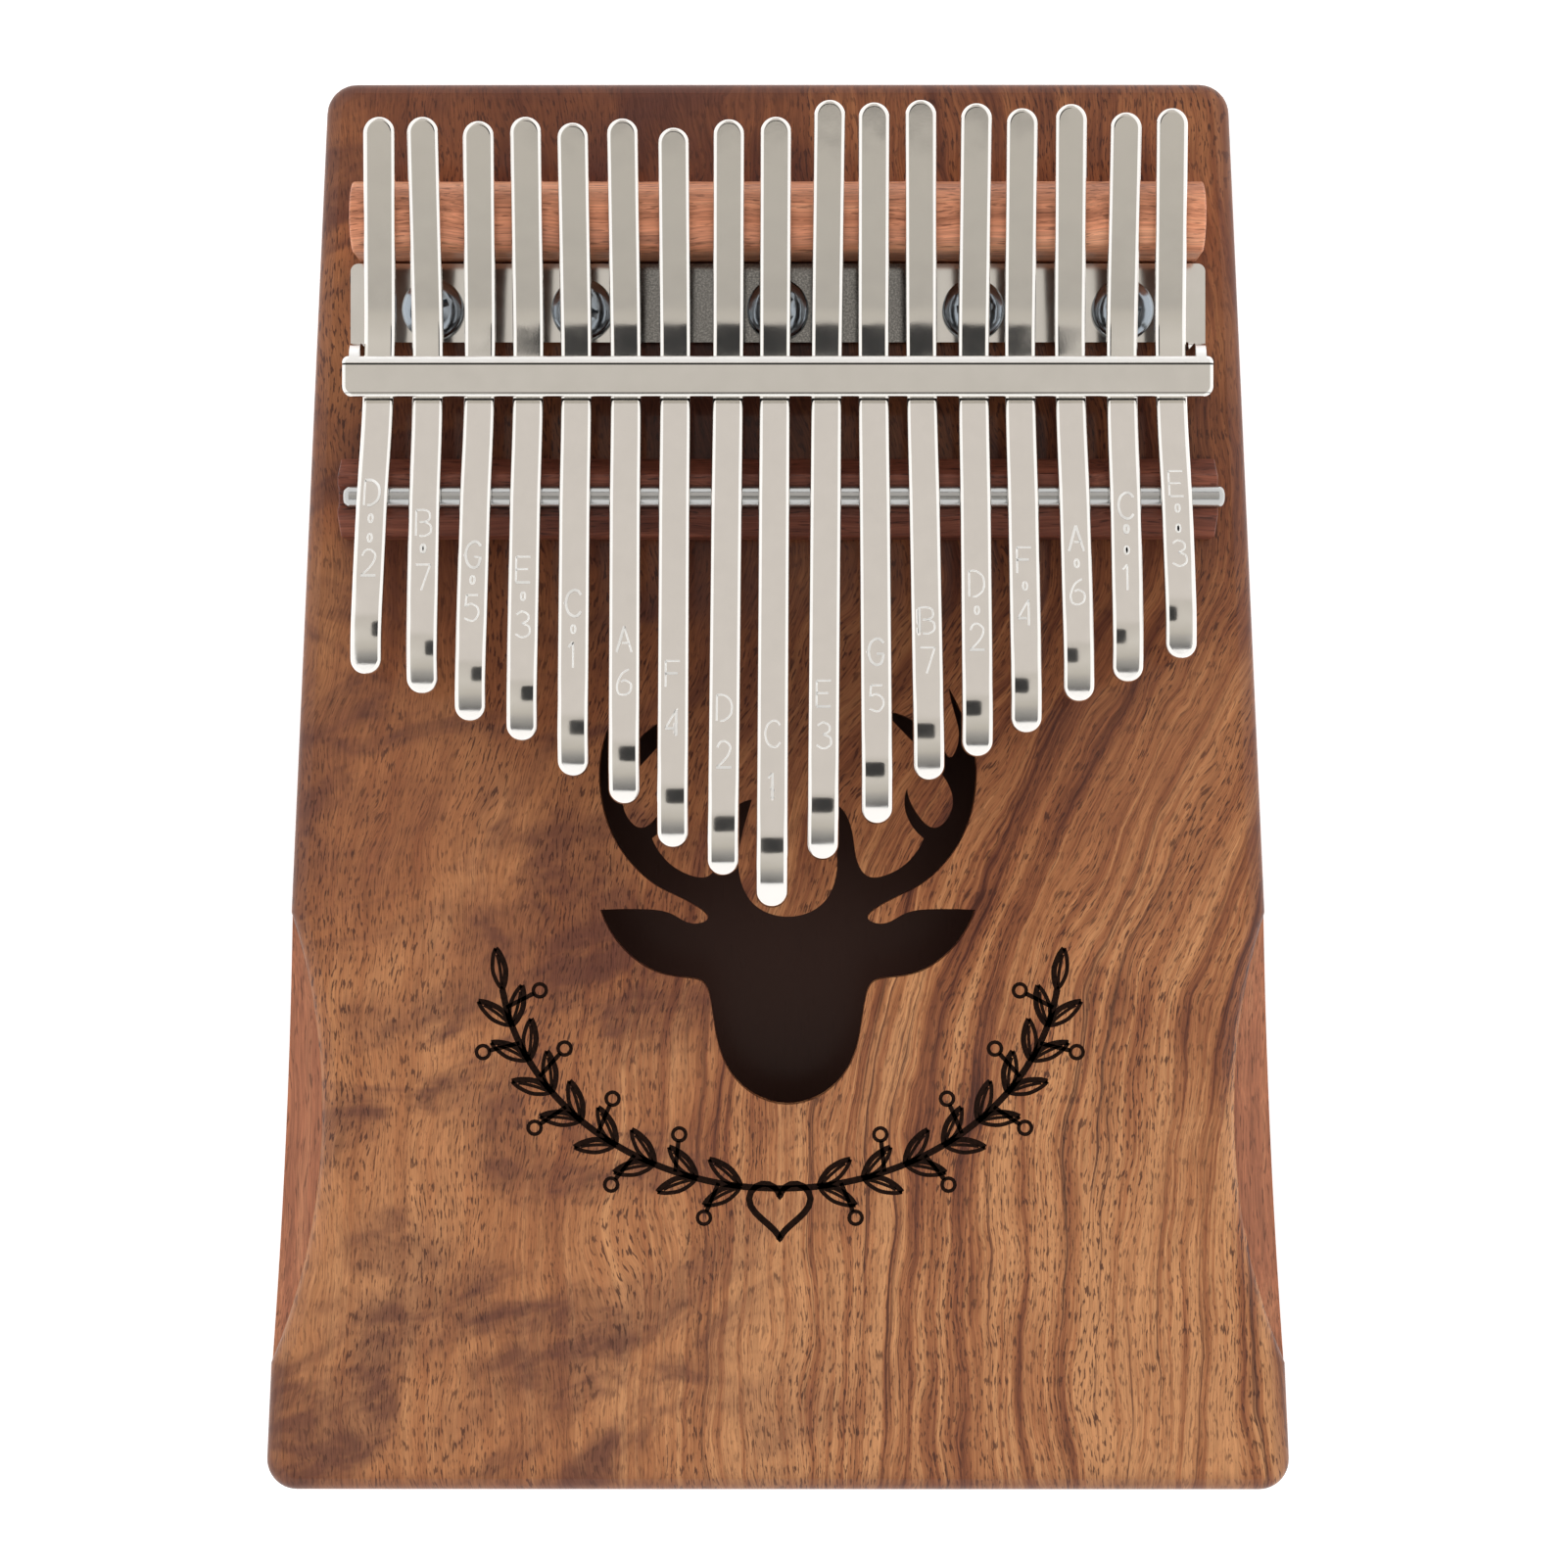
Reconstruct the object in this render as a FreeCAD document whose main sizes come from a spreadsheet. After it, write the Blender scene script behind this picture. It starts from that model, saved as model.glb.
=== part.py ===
"""Seventeen-tine mbira (thumb piano) with a hollow wooden sound box.

The instrument lies on its back.  Origin: middle of the underside.  +X points to
the player's right, +Y from the tips of the tines to the bracket end, and +Z out
of the soundboard.  All sizes are in millimetres.
"""
import FreeCAD, Part
import math
import os
import Sketcher

ORIGIN = -1          # Sketcher's index of a sketch's own origin
START, END, CENTRE = 1, 2, 3

# ---------------------------------------------------------------- driving sizes
SIZES = {
    # sound box
    "box_length": 184.0,
    "box_width_front": 134.0,
    "box_width_rear": 118.0,
    "corner_radius": 4.0,
    "back_thickness": 3.0,
    "wall_height": 19.0,
    "board_thickness": 3.0,
    "board_round_over": 2.2,
    "back_round_over": 1.5,
    "side_wall": 9.0,
    "end_wall": 8.0,
    # grip scoops in the two long sides
    "scoop_radius": 86.0,
    "scoop_depth": 5.2,
    "scoop_middle": -46.0,
    "scoop_fall": 3.0,
    "scoop_lip_gap": 0.3,
    # sound hole
    "hole_centre": 1.3,
    # rear saddle, a crowned wooden strip
    "saddle_length": 109.2,
    "saddle_width": 9.1,
    "saddle_shoulder": 7.6,
    "saddle_height": 10.75,
    "saddle_middle": 72.85,
    # bent sheet bracket that holds the tines down
    "sheet": 1.5,
    "bracket_length": 111.2,
    "bracket_rear": 67.9,
    "web_rear": 56.65,
    "bar_front": 49.5,
    "bar_top": 9.8,
    "bend_inside": 1.0,
    "slot_length": 106.8,
    "slot_top": 10.0,
    "slot_front": 54.75,
    "bar_corner": 1.4,
    "bar_softening": 0.5,
    "bar_rear_corner": 0.8,
    "leg_span": 109.4,
    "foot_corner": 1.0,
    # screws and the block they bite into
    "screw_line": 61.8,
    "screw_inner": 25.4,
    "screw_outer": 44.8,
    "screw_head": 8.0,
    "screw_head_height": 2.4,
    "screw_shank": 3.0,
    "screw_length": 13.5,
    "screw_point": 3.0,
    "recess_span": 4.4,
    "recess_slot": 0.9,
    "recess_depth": 1.3,
    "pilot": 3.1,
    "bracket_hole": 3.6,
    "block_length": 101.0,
    "block_width": 14.0,
    "block_height": 12.0,
    # front bridge and the steel rod on its ridge
    "bridge_length": 112.8,
    "bridge_width": 10.1,
    "bridge_shoulder": 4.6,
    "bridge_ridge": 5.2,
    "bridge_height": 7.8,
    "bridge_middle": 37.1,
    "rod_diameter": 2.8,
    "rod_length": 112.7,
    "rod_height": 8.0,
    "rod_line": 36.9,
    "rod_offset": 0.8,
    "rod_seat_gap": 0.02,
    # what every tine shares; heights are above the soundboard
    "tine_width": 4.0,
    "tine_thickness": 1.0,
    "dip_line": 52.1,
    "dip_height": 5.25,
    "crest_height": 9.6,
    "saddle_clearance": 0.34,
    "rise": 0.12,
    "tip_run": 4.8,
    "dip_radius": 32.0,
    "crest_radius": 20.0,
    "tip_radius": 16.0,
    "end_rounding": 1.96,
}

# Node name, position along the bar, lean in degrees (a positive lean takes the
# rear end to +X), rear end, front tip, and how far the tip curves down.
TINES = [
    ("tine_01_d6", -51.18, 1.7, 84.15, 14.0, 1.7),
    ("tine_02_b5", -44.91, 0.25, 84.15, 11.5, 1.7),
    ("tine_03_g5", -38.25, 0.95, 83.65, 8.0, 1.7),
    ("tine_04_e5", -32.02, 0.45, 84.15, 5.5, 1.7),
    ("tine_05_c5", -25.85, 0.0, 83.45, 1.0, 1.7),
    ("tine_06_a4", -19.49, -0.15, 83.95, -2.5, 1.75),
    ("tine_07_f4", -13.15, 0.05, 82.85, -8.0, 1.7),
    ("tine_08_d4", -6.37, 0.45, 83.85, -11.5, 1.6),
    ("tine_09_c4", -0.36, 0.3, 84.15, -15.5, 2.4),
    ("tine_10_e4", 6.27, 0.55, 86.15, -9.5, 1.9),
    ("tine_11_g4", 12.31, -0.25, 85.85, -5.0, 2.0),
    ("tine_12_b4", 18.49, -0.75, 86.15, 0.5, 1.7),
    ("tine_13_d5", 25.16, -0.15, 85.75, 3.5, 1.7),
    ("tine_14_f5", 31.12, -0.5, 85.15, 6.5, 1.7),
    ("tine_15_a5", 37.55, -0.95, 85.65, 10.5, 1.7),
    ("tine_16_c6", 44.17, -0.4, 84.65, 13.0, 1.7),
    ("tine_17_e6", 50.46, -1.3, 85.15, 16.0, 1.7),
]

# Sound hole: the head of a stag, drawn for its right half about the hole's
# centre line.  Each run is one smooth curve, and runs meet at corners.
CHEEK = [(24.5, -16.2), (20.8, -22.0), (17.0, -24.4), (13.2, -25.1), (11.2, -25.6),
         (10.1, -28.0), (9.4, -32.5), (7.8, -37.0), (4.8, -40.1), (0.0, -41.6)]
EAR_AND_BEAM = [(24.5, -16.2), (19.5, -16.1), (15.0, -16.8), (12.0, -18.0),
                (10.5, -17.4), (12.2, -15.6), (16.8, -13.3), (20.8, -9.8),
                (23.4, -5.4), (24.6, 0.0), (24.4, 4.5), (23.0, 8.8), (21.0, 12.8)]
UPPER_FORK = [(21.0, 12.8), (22.0, 8.5), (22.1, 5.2), (21.2, 3.7), (20.2, 5.0),
              (17.5, 7.8), (12.6, 9.7)]
RING = [(12.6, 9.7), (16.0, 6.0), (19.0, 2.8), (21.0, 0.0), (21.4, -3.0),
        (19.2, -5.5), (16.8, -3.6), (15.6, -0.3)]
HOOK = [(15.6, -0.3), (15.2, -2.5), (16.2, -5.3), (17.7, -6.9)]
LOWER_FORK = [(17.7, -6.9), (16.0, -9.6), (13.0, -11.6), (10.4, -11.8), (9.1, -10.0),
              (8.5, -6.5), (7.2, -3.2), (4.7, -1.8)]
BROW = [(4.7, -1.8), (6.0, -6.5), (6.4, -11.0), (4.6, -15.3), (0.0, -17.1)]


class Size:
    """A length that knows its number and the formula that the document keeps."""

    def __init__(self, value, formula):
        self.value = value
        self.formula = formula

    def combine(self, other, sign, value):
        return Size(value, "(%s %s %s)" % (self.formula, sign, as_size(other).formula))

    def __add__(self, other):
        return self.combine(other, "+", self.value + as_size(other).value)

    def __sub__(self, other):
        return self.combine(other, "-", self.value - as_size(other).value)

    def __mul__(self, other):
        return self.combine(other, "*", self.value * as_size(other).value)

    def __truediv__(self, other):
        return self.combine(other, "/", self.value / as_size(other).value)

    def __neg__(self):
        return Size(-self.value, "(0 - %s)" % self.formula)


def as_size(value):
    """Turn a plain number into a Size; leave a Size as it is."""
    if isinstance(value, Size):
        return value
    return Size(float(value), repr(float(value)))


doc = FreeCAD.newDocument("mbira")


def fill_sheet(entries):
    """Write every driving size to the spreadsheet and return it by name."""
    sheet = doc.addObject("Spreadsheet::Sheet", "dims")
    sizes = {}
    for row, (name, value) in enumerate(entries.items(), start=1):
        sheet.set("A%d" % row, name)
        sheet.set("B%d" % row, str(value))
        sheet.setAlias("B%d" % row, name)
        sizes[name] = Size(value, "dims." + name)
    return sizes


def tine_entries():
    """The sizes that differ from tine to tine, as spreadsheet entries."""
    entries = {}
    for name, across, lean, rear, tip, drop in TINES:
        entries[name + "_across"] = across
        entries[name + "_lean"] = lean
        entries[name + "_rear"] = rear
        entries[name + "_tip"] = tip
        entries[name + "_drop"] = drop
    return entries


D = fill_sheet({**SIZES, **tine_entries()})
doc.recompute()

WALL_BOTTOM = D["back_thickness"]
BOARD_BOTTOM = WALL_BOTTOM + D["wall_height"]
BOARD_TOP = BOARD_BOTTOM + D["board_thickness"]
SCREW_PLACES = [-D["screw_outer"], -D["screw_inner"], as_size(0), D["screw_inner"],
                D["screw_outer"]]


# ---------------------------------------------------------------- small helpers
def bind(item, prop, size):
    """Give a property its number and the formula that drives it."""
    size = as_size(size)
    if "." not in prop:
        setattr(item, prop, size.value)
    item.setExpression(prop, size.formula)


def new_body(label, x=0, y=0, z=0):
    """A PartDesign body whose own origin is at x, y, z."""
    body = doc.addObject("PartDesign::Body", label)
    body.Label = label
    for axis, size in zip("xyz", (x, y, z)):
        bind(body, "Placement.Base." + axis, size)
    return body


def new_sketch(body, plane, name):
    """A sketch on one of the body's own origin planes."""
    sketch = body.newObject("Sketcher::SketchObject", name)
    origin = [item for item in body.Origin.OriginFeatures if item.Role == plane][0]
    sketch.AttachmentSupport = (origin, [""])
    sketch.MapMode = "FlatFace"
    return sketch


def pin_point(sketch, geometry, point, x, y):
    """Hold a point of a sketch at x, y from the sketch's origin."""
    for kind, size in (("DistanceX", as_size(x)), ("DistanceY", as_size(y))):
        index = sketch.addConstraint(
            Sketcher.Constraint(kind, ORIGIN, 1, geometry, point, size.value))
        sketch.setExpression("Constraints[%d]" % index, size.formula)


def draw_polygon(sketch, corners):
    """A closed outline of straight lines through corners given as Sizes."""
    spots = [FreeCAD.Vector(as_size(x).value, as_size(y).value, 0) for x, y in corners]
    lines = []
    for here, there in zip(spots, spots[1:] + spots[:1]):
        lines.append(sketch.addGeometry(Part.LineSegment(here, there), False))
    for line, (x, y) in zip(lines, corners):
        pin_point(sketch, line, START, x, y)
    for line, following in zip(lines, lines[1:] + lines[:1]):
        sketch.addConstraint(Sketcher.Constraint("Coincident", line, END, following, START))


def draw_circle(sketch, x, y, diameter):
    """A circle held at x, y with a driven diameter."""
    x, y, diameter = as_size(x), as_size(y), as_size(diameter)
    centre = FreeCAD.Vector(x.value, y.value, 0)
    circle = Part.Circle(centre, FreeCAD.Vector(0, 0, 1), diameter.value / 2)
    index = sketch.addGeometry(circle, False)
    pin_point(sketch, index, CENTRE, x, y)
    rule = sketch.addConstraint(Sketcher.Constraint("Diameter", index, diameter.value))
    sketch.setExpression("Constraints[%d]" % rule, diameter.formula)


def pad(body, sketch, length, both_ways=False):
    """Extrude a sketch, upwards or evenly to both sides."""
    feature = body.newObject("PartDesign::Pad", sketch.Name + "_pad")
    feature.Profile = sketch
    if both_ways:
        feature.SideType = "Symmetric"
    bind(feature, "Length", length)
    doc.recompute()
    return feature


def pocket(body, sketch):
    """Cut a sketch through the whole body, and check that it cut something."""
    before = body.Shape.Volume
    feature = body.newObject("PartDesign::Pocket", sketch.Name + "_pocket")
    feature.Profile = sketch
    feature.Type = "ThroughAll"
    feature.SideType = "Symmetric"
    doc.recompute()
    if feature.Shape.Volume >= before:
        raise RuntimeError(feature.Name + " cut nothing")
    return feature


def dress(body, kind, base, edges, prop, size):
    """A fillet or chamfer on the chosen edges of the base feature."""
    feature = body.newObject("PartDesign::" + kind, "%s_%s" % (base.Name, kind.lower()))
    feature.Base = (base, edges)
    bind(feature, prop, size)
    doc.recompute()
    return feature


def pick_edges(feature, wanted):
    """Names of the feature's edges for which wanted(edge) holds."""
    edges = enumerate(feature.Shape.Edges, start=1)
    return ["Edge%d" % number for number, edge in edges if wanted(edge)]


def spot(edge):
    """Middle of an edge."""
    return edge.valueAt((edge.FirstParameter + edge.LastParameter) / 2)


def is_upright(edge):
    """True for a straight edge along Z."""
    if len(edge.Vertexes) != 2:
        return False
    run = edge.Vertexes[1].Point - edge.Vertexes[0].Point
    return abs(run.z) > 0.99 * run.Length


def near(value, target):
    return abs(value - as_size(target).value) < 0.01


def rim_edges(feature, height):
    """The outer rim of the flat face at a height."""
    for face in feature.Shape.Faces:
        flat = isinstance(face.Surface, Part.Plane)
        if flat and face.BoundBox.ZLength < 0.01 and near(face.BoundBox.ZMin, height):
            rim = face.OuterWire.Edges
            return pick_edges(feature, lambda edge: any(edge.isSame(one) for one in rim))
    raise RuntimeError("no flat face at this height in " + feature.Name)


def side_at(along):
    """Half the box's width at a place along its length."""
    middle = (D["box_width_front"] + D["box_width_rear"]) / 4
    taper = (D["box_width_front"] - D["box_width_rear"]) / (D["box_length"] * 2)
    return middle - taper * along


def scoop_axis(hand):
    """Where the upright axis of a side's scoop stands (hand is +1 or -1)."""
    lean = math.atan2(SIZES["box_width_front"] - SIZES["box_width_rear"],
                      2 * SIZES["box_length"])
    reach = D["scoop_radius"] - D["scoop_depth"]
    across = side_at(D["scoop_middle"]) + reach * math.cos(lean)
    return across * hand, D["scoop_middle"] + reach * math.sin(lean)


# ------------------------------------------------------------------- sound box
def box_outline(body, thickness):
    """A plate with the plan of the box and rounded corners."""
    half = D["box_length"] / 2
    front, rear = side_at(-half), side_at(half)
    sketch = new_sketch(body, "XY_Plane", body.Name + "_plan")
    draw_polygon(sketch, [(-front, -half), (front, -half), (rear, half), (-rear, half)])
    plate = pad(body, sketch, thickness)
    return dress(body, "Fillet", plate, pick_edges(plate, is_upright), "Radius",
                 D["corner_radius"])


def smooth_run(points):
    """One smooth curve through the points."""
    curve = Part.BSplineCurve()
    curve.interpolate([FreeCAD.Vector(x, y, 0) for x, y in points])
    return curve


def mirrored(points):
    return [(-x, y) for x, y in points]


def stag_curves():
    """The closed outline of the sound hole, run by run."""
    chin = CHEEK + mirrored(CHEEK)[-2::-1]
    crown = BROW + mirrored(BROW)[-2::-1]
    runs = [chin, crown]
    for run in (EAR_AND_BEAM, UPPER_FORK, RING, HOOK, LOWER_FORK):
        runs += [run, mirrored(run)]
    return [smooth_run(run) for run in runs]


def make_soundboard():
    body = new_body("soundboard", z=BOARD_BOTTOM)
    plate = box_outline(body, D["board_thickness"])
    scoops = new_sketch(body, "XY_Plane", "soundboard_scoops")
    for hand in (1, -1):
        across, along = scoop_axis(hand)
        draw_circle(scoops, across, along, D["scoop_radius"] * 2)
    plate = pocket(body, scoops)
    dress(body, "Fillet", plate, rim_edges(plate, D["board_thickness"]), "Radius",
          D["board_round_over"])
    hole = new_sketch(body, "XY_Plane", "sound_hole")
    bind(hole, "AttachmentOffset.Base.x", D["hole_centre"])
    for curve in stag_curves():
        hole.addGeometry(curve, False)
    pocket(body, hole)
    pilots = new_sketch(body, "XY_Plane", "soundboard_pilots")
    for across in SCREW_PLACES:
        draw_circle(pilots, across, D["screw_line"], D["pilot"])
    pocket(body, pilots)


def make_back_board():
    body = new_body("back_board")
    plate = box_outline(body, D["back_thickness"])
    dress(body, "Fillet", plate, rim_edges(plate, 0), "Radius", D["back_round_over"])


def make_side_wall(label, hand):
    """A long side wall with the grip scoop in its upper outer edge."""
    body = new_body(label, z=WALL_BOTTOM)
    half = D["box_length"] / 2
    outer_front, outer_rear = side_at(-half), side_at(half)
    plan = [(outer_front - D["side_wall"], -half), (outer_front, -half),
            (outer_rear, half), (outer_rear - D["side_wall"], half)]
    if hand < 0:
        plan = [(-across, along) for across, along in plan]
    sketch = new_sketch(body, "XY_Plane", label + "_plan")
    draw_polygon(sketch, plan)
    wall = pad(body, sketch, D["wall_height"])
    middle = SIZES["box_width_front"] / 2 - SIZES["side_wall"] / 2
    outer = pick_edges(wall, lambda edge: is_upright(edge) and (
        abs(spot(edge).x) > middle
        or (spot(edge).y > 0 and abs(spot(edge).x) > side_at(half).value - 1)))
    dress(body, "Fillet", wall, outer, "Radius", D["corner_radius"])
    cone = body.newObject("PartDesign::SubtractiveCone", label + "_scoop")
    bind(cone, "Radius1", D["scoop_radius"] - D["scoop_depth"] - D["scoop_lip_gap"])
    bind(cone, "Radius2", D["scoop_radius"])
    bind(cone, "Height", D["scoop_fall"])
    across, along = scoop_axis(hand)
    for axis, size in zip("xyz", (across, along, D["wall_height"] - D["scoop_fall"])):
        bind(cone, "Placement.Base." + axis, size)


def make_end_wall(label, end):
    """A short wall between the two side walls (end is +1 rear, -1 front)."""
    body = new_body(label, z=WALL_BOTTOM)
    outside = D["box_length"] * (end * 0.5)
    inside = outside - D["end_wall"] * end
    out_x = side_at(outside) - D["side_wall"]
    in_x = side_at(inside) - D["side_wall"]
    sketch = new_sketch(body, "XY_Plane", label + "_plan")
    draw_polygon(sketch, [(-out_x, outside), (out_x, outside), (in_x, inside),
                          (-in_x, inside)])
    pad(body, sketch, D["wall_height"])


def make_screw_block():
    """The hardwood block under the soundboard that the screws bite into."""
    body = new_body("screw_block", y=D["screw_line"], z=BOARD_BOTTOM - D["block_height"])
    half_x, half_y = D["block_length"] / 2, D["block_width"] / 2
    sketch = new_sketch(body, "XY_Plane", "screw_block_plan")
    draw_polygon(sketch, [(-half_x, -half_y), (half_x, -half_y), (half_x, half_y),
                          (-half_x, half_y)])
    pad(body, sketch, D["block_height"])
    pilots = new_sketch(body, "XY_Plane", "screw_block_pilots")
    for across in SCREW_PLACES:
        draw_circle(pilots, across, 0, D["pilot"])
    pocket(body, pilots)


# -------------------------------------------------------------------- hardware
def make_rear_saddle():
    """A strip with upright shoulders and a round crown."""
    body = new_body("rear_saddle", y=D["saddle_middle"], z=BOARD_TOP)
    half, shoulder, top = D["saddle_width"] / 2, D["saddle_shoulder"], D["saddle_height"]
    sketch = new_sketch(body, "YZ_Plane", "rear_saddle_profile")
    corners = [(half, shoulder), (half, as_size(0)), (-half, as_size(0)), (-half, shoulder)]
    spots = [FreeCAD.Vector(x.value, y.value, 0) for x, y in corners]
    for line in range(3):
        sketch.addGeometry(Part.LineSegment(spots[line], spots[line + 1]), False)
        pin_point(sketch, line, START, *corners[line])
    pin_point(sketch, 2, END, *corners[3])
    for line in range(2):
        sketch.addConstraint(Sketcher.Constraint("Coincident", line, END, line + 1, START))
    crown = Part.Arc(spots[0], FreeCAD.Vector(0, top.value, 0), spots[3])
    arc = sketch.addGeometry(crown, False)
    sketch.addConstraint(Sketcher.Constraint("Coincident", arc, START, 0, START))
    sketch.addConstraint(Sketcher.Constraint("Coincident", arc, END, 2, END))
    rise = top - shoulder
    radius = (half * half + rise * rise) / (rise * 2)
    rule = sketch.addConstraint(Sketcher.Constraint("Radius", arc, radius.value))
    sketch.setExpression("Constraints[%d]" % rule, radius.formula)
    pad(body, sketch, D["saddle_length"], both_ways=True)


def cut_box(body, label, corner, sizes):
    """Remove a box, given its lowest corner and its three lengths."""
    box = body.newObject("PartDesign::SubtractiveBox", label)
    for side, size in zip(("Length", "Width", "Height"), sizes):
        bind(box, side, size)
    for axis, size in zip("xyz", corner):
        bind(box, "Placement.Base." + axis, size)
    doc.recompute()
    return box


def make_tine_bracket():
    """One bent sheet: foot under the screws, slotted web, and the bar above."""
    body = new_body("tine_bracket", z=BOARD_TOP)
    sheet, bar_top = D["sheet"], D["bar_top"]
    web_rear, web_front = D["web_rear"], D["web_rear"] - D["sheet"]
    profile = [(D["bracket_rear"], as_size(0)), (D["bracket_rear"], sheet),
               (web_rear, sheet), (web_rear, bar_top), (D["bar_front"], bar_top),
               (D["bar_front"], bar_top - sheet), (web_front, bar_top - sheet),
               (web_front, as_size(0))]
    sketch = new_sketch(body, "YZ_Plane", "tine_bracket_profile")
    draw_polygon(sketch, profile)
    strip = pad(body, sketch, D["bracket_length"], both_ways=True)

    def bend_edge(along, height):
        return lambda edge: near(spot(edge).x, 0) and near(spot(edge).y, along) and near(
            spot(edge).z, height)

    inner = pick_edges(strip, bend_edge(web_rear, sheet))
    inner += pick_edges(strip, bend_edge(web_front, bar_top - sheet))
    strip = dress(body, "Fillet", strip, inner, "Radius", D["bend_inside"])
    outer = pick_edges(strip, bend_edge(web_rear, bar_top))
    outer += pick_edges(strip, bend_edge(web_front, 0))
    strip = dress(body, "Fillet", strip, outer, "Radius", D["bend_inside"] + sheet)

    def corner_edge(along):
        return lambda edge: is_upright(edge) and near(spot(edge).y, along)

    strip = dress(body, "Fillet", strip, pick_edges(strip, corner_edge(D["bar_front"])),
                  "Radius", D["bar_corner"])
    dress(body, "Fillet", strip, pick_edges(strip, corner_edge(D["bracket_rear"])),
          "Radius", D["foot_corner"])
    below, margin = 1, 2
    slot_rear = web_rear + D["bend_inside"]
    cut_box(body, "tine_slot", (-D["slot_length"] / 2, D["slot_front"], as_size(-below)),
            (D["slot_length"], slot_rear - D["slot_front"], D["slot_top"] + below))
    for hand in (1, -1):
        edge = D["leg_span"] / 2
        start = edge if hand > 0 else -edge - margin
        slot = cut_box(body, "leg_notch", (start, D["slot_front"], sheet),
                       (as_size(margin), slot_rear - D["slot_front"], D["slot_top"]))
    rear_corners = pick_edges(slot, lambda edge: is_upright(edge) and (
        near(abs(spot(edge).x), D["bracket_length"].value / 2)
        and near(spot(edge).y, D["slot_front"])))
    strip = dress(body, "Fillet", slot, rear_corners, "Radius", D["bar_rear_corner"])
    bend_start = web_rear - D["bend_inside"] - sheet
    soft = pick_edges(strip, lambda edge: spot(edge).z > bar_top.value - 0.2
                      and spot(edge).y < D["slot_front"].value + 0.01
                      and not near(spot(edge).y, bend_start))
    dress(body, "Fillet", strip, soft, "Radius", D["bar_softening"])
    holes = new_sketch(body, "XY_Plane", "tine_bracket_holes")
    for across in SCREW_PLACES:
        draw_circle(holes, across, D["screw_line"], D["bracket_hole"])
    pocket(body, holes)


def make_screw():
    """One pan-head wood screw with a crossed recess, origin under its head."""
    body = new_body("screw_pattern")
    head, shank = D["screw_head"] / 2, D["screw_shank"] / 2
    zero, height = as_size(0), D["screw_head_height"]
    tip, taper = -D["screw_length"], D["screw_point"] - D["screw_length"]
    rim, crown = height * 0.45, head * 0.72
    sketch = new_sketch(body, "XZ_Plane", "screw_profile")
    draw_polygon(sketch, [(zero, height), (head * 0.3, height), (crown, height * 0.86),
                          (head * 0.93, height * 0.62), (head, rim), (head, zero),
                          (shank, zero), (shank, taper), (zero, tip)])
    turned = body.newObject("PartDesign::Revolution", "screw_turned")
    turned.Profile = sketch
    turned.ReferenceAxis = (sketch, ["V_Axis"])
    turned.Angle = 360
    doc.recompute()
    for name, spans in (("recess_x", ("recess_span", "recess_slot")),
                        ("recess_y", ("recess_slot", "recess_span"))):
        cut = body.newObject("PartDesign::SubtractiveBox", name)
        bind(cut, "Length", D[spans[0]])
        bind(cut, "Width", D[spans[1]])
        bind(cut, "Height", D["recess_depth"])
        corner = (-D[spans[0]] / 2, -D[spans[1]] / 2, height - D["recess_depth"])
        for axis, size in zip("xyz", corner):
            bind(cut, "Placement.Base." + axis, size)
    doc.recompute()
    return body


def make_bracket_screws():
    """Five separate screws through the bracket's foot, as one group."""
    pattern = make_screw()
    turns = (20, 65, 40, 5, 75)
    screws = []
    for across, turn in zip(SCREW_PLACES, turns):
        screw = pattern.Shape.copy()
        place = FreeCAD.Vector(across.value, D["screw_line"].value,
                               (BOARD_TOP + D["sheet"]).value)
        screw.Placement = FreeCAD.Placement(
            place, FreeCAD.Rotation(FreeCAD.Vector(0, 0, 1), turn))
        screws.append(screw)
    group = doc.addObject("Part::Feature", "bracket_screws")
    group.Label = "bracket_screws"
    group.Shape = Part.makeCompound(screws)


def make_front_bridge():
    """A wooden strip with bevelled shoulders and a groove for the rod."""
    body = new_body("front_bridge", y=D["bridge_middle"], z=BOARD_TOP)
    half, ridge = D["bridge_width"] / 2, D["bridge_ridge"] / 2
    shoulder, top = D["bridge_shoulder"], D["bridge_height"]
    zero = as_size(0)
    sketch = new_sketch(body, "YZ_Plane", "front_bridge_profile")
    draw_polygon(sketch, [(half, zero), (half, shoulder), (ridge, top), (-ridge, top),
                          (-half, shoulder), (-half, zero)])
    pad(body, sketch, D["bridge_length"], both_ways=True)
    groove = new_sketch(body, "YZ_Plane", "rod_groove")
    draw_circle(groove, D["rod_line"] - D["bridge_middle"], D["rod_height"],
                D["rod_diameter"] + D["rod_seat_gap"] * 2)
    pocket(body, groove)


def make_bridge_rod():
    """The bare steel rod that the tines bear on, with rounded ends."""
    body = new_body("bridge_rod", x=D["rod_offset"], y=D["rod_line"],
                    z=BOARD_TOP + D["rod_height"])
    sketch = new_sketch(body, "YZ_Plane", "bridge_rod_section")
    draw_circle(sketch, 0, 0, D["rod_diameter"])
    rod = pad(body, sketch, D["rod_length"], both_ways=True)
    half = D["rod_length"].value / 2
    rims = pick_edges(rod, lambda edge: near(abs(edge.BoundBox.Center.x), half))
    dress(body, "Fillet", rod, rims, "Radius", D["rod_diameter"] * 0.3)


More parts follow.
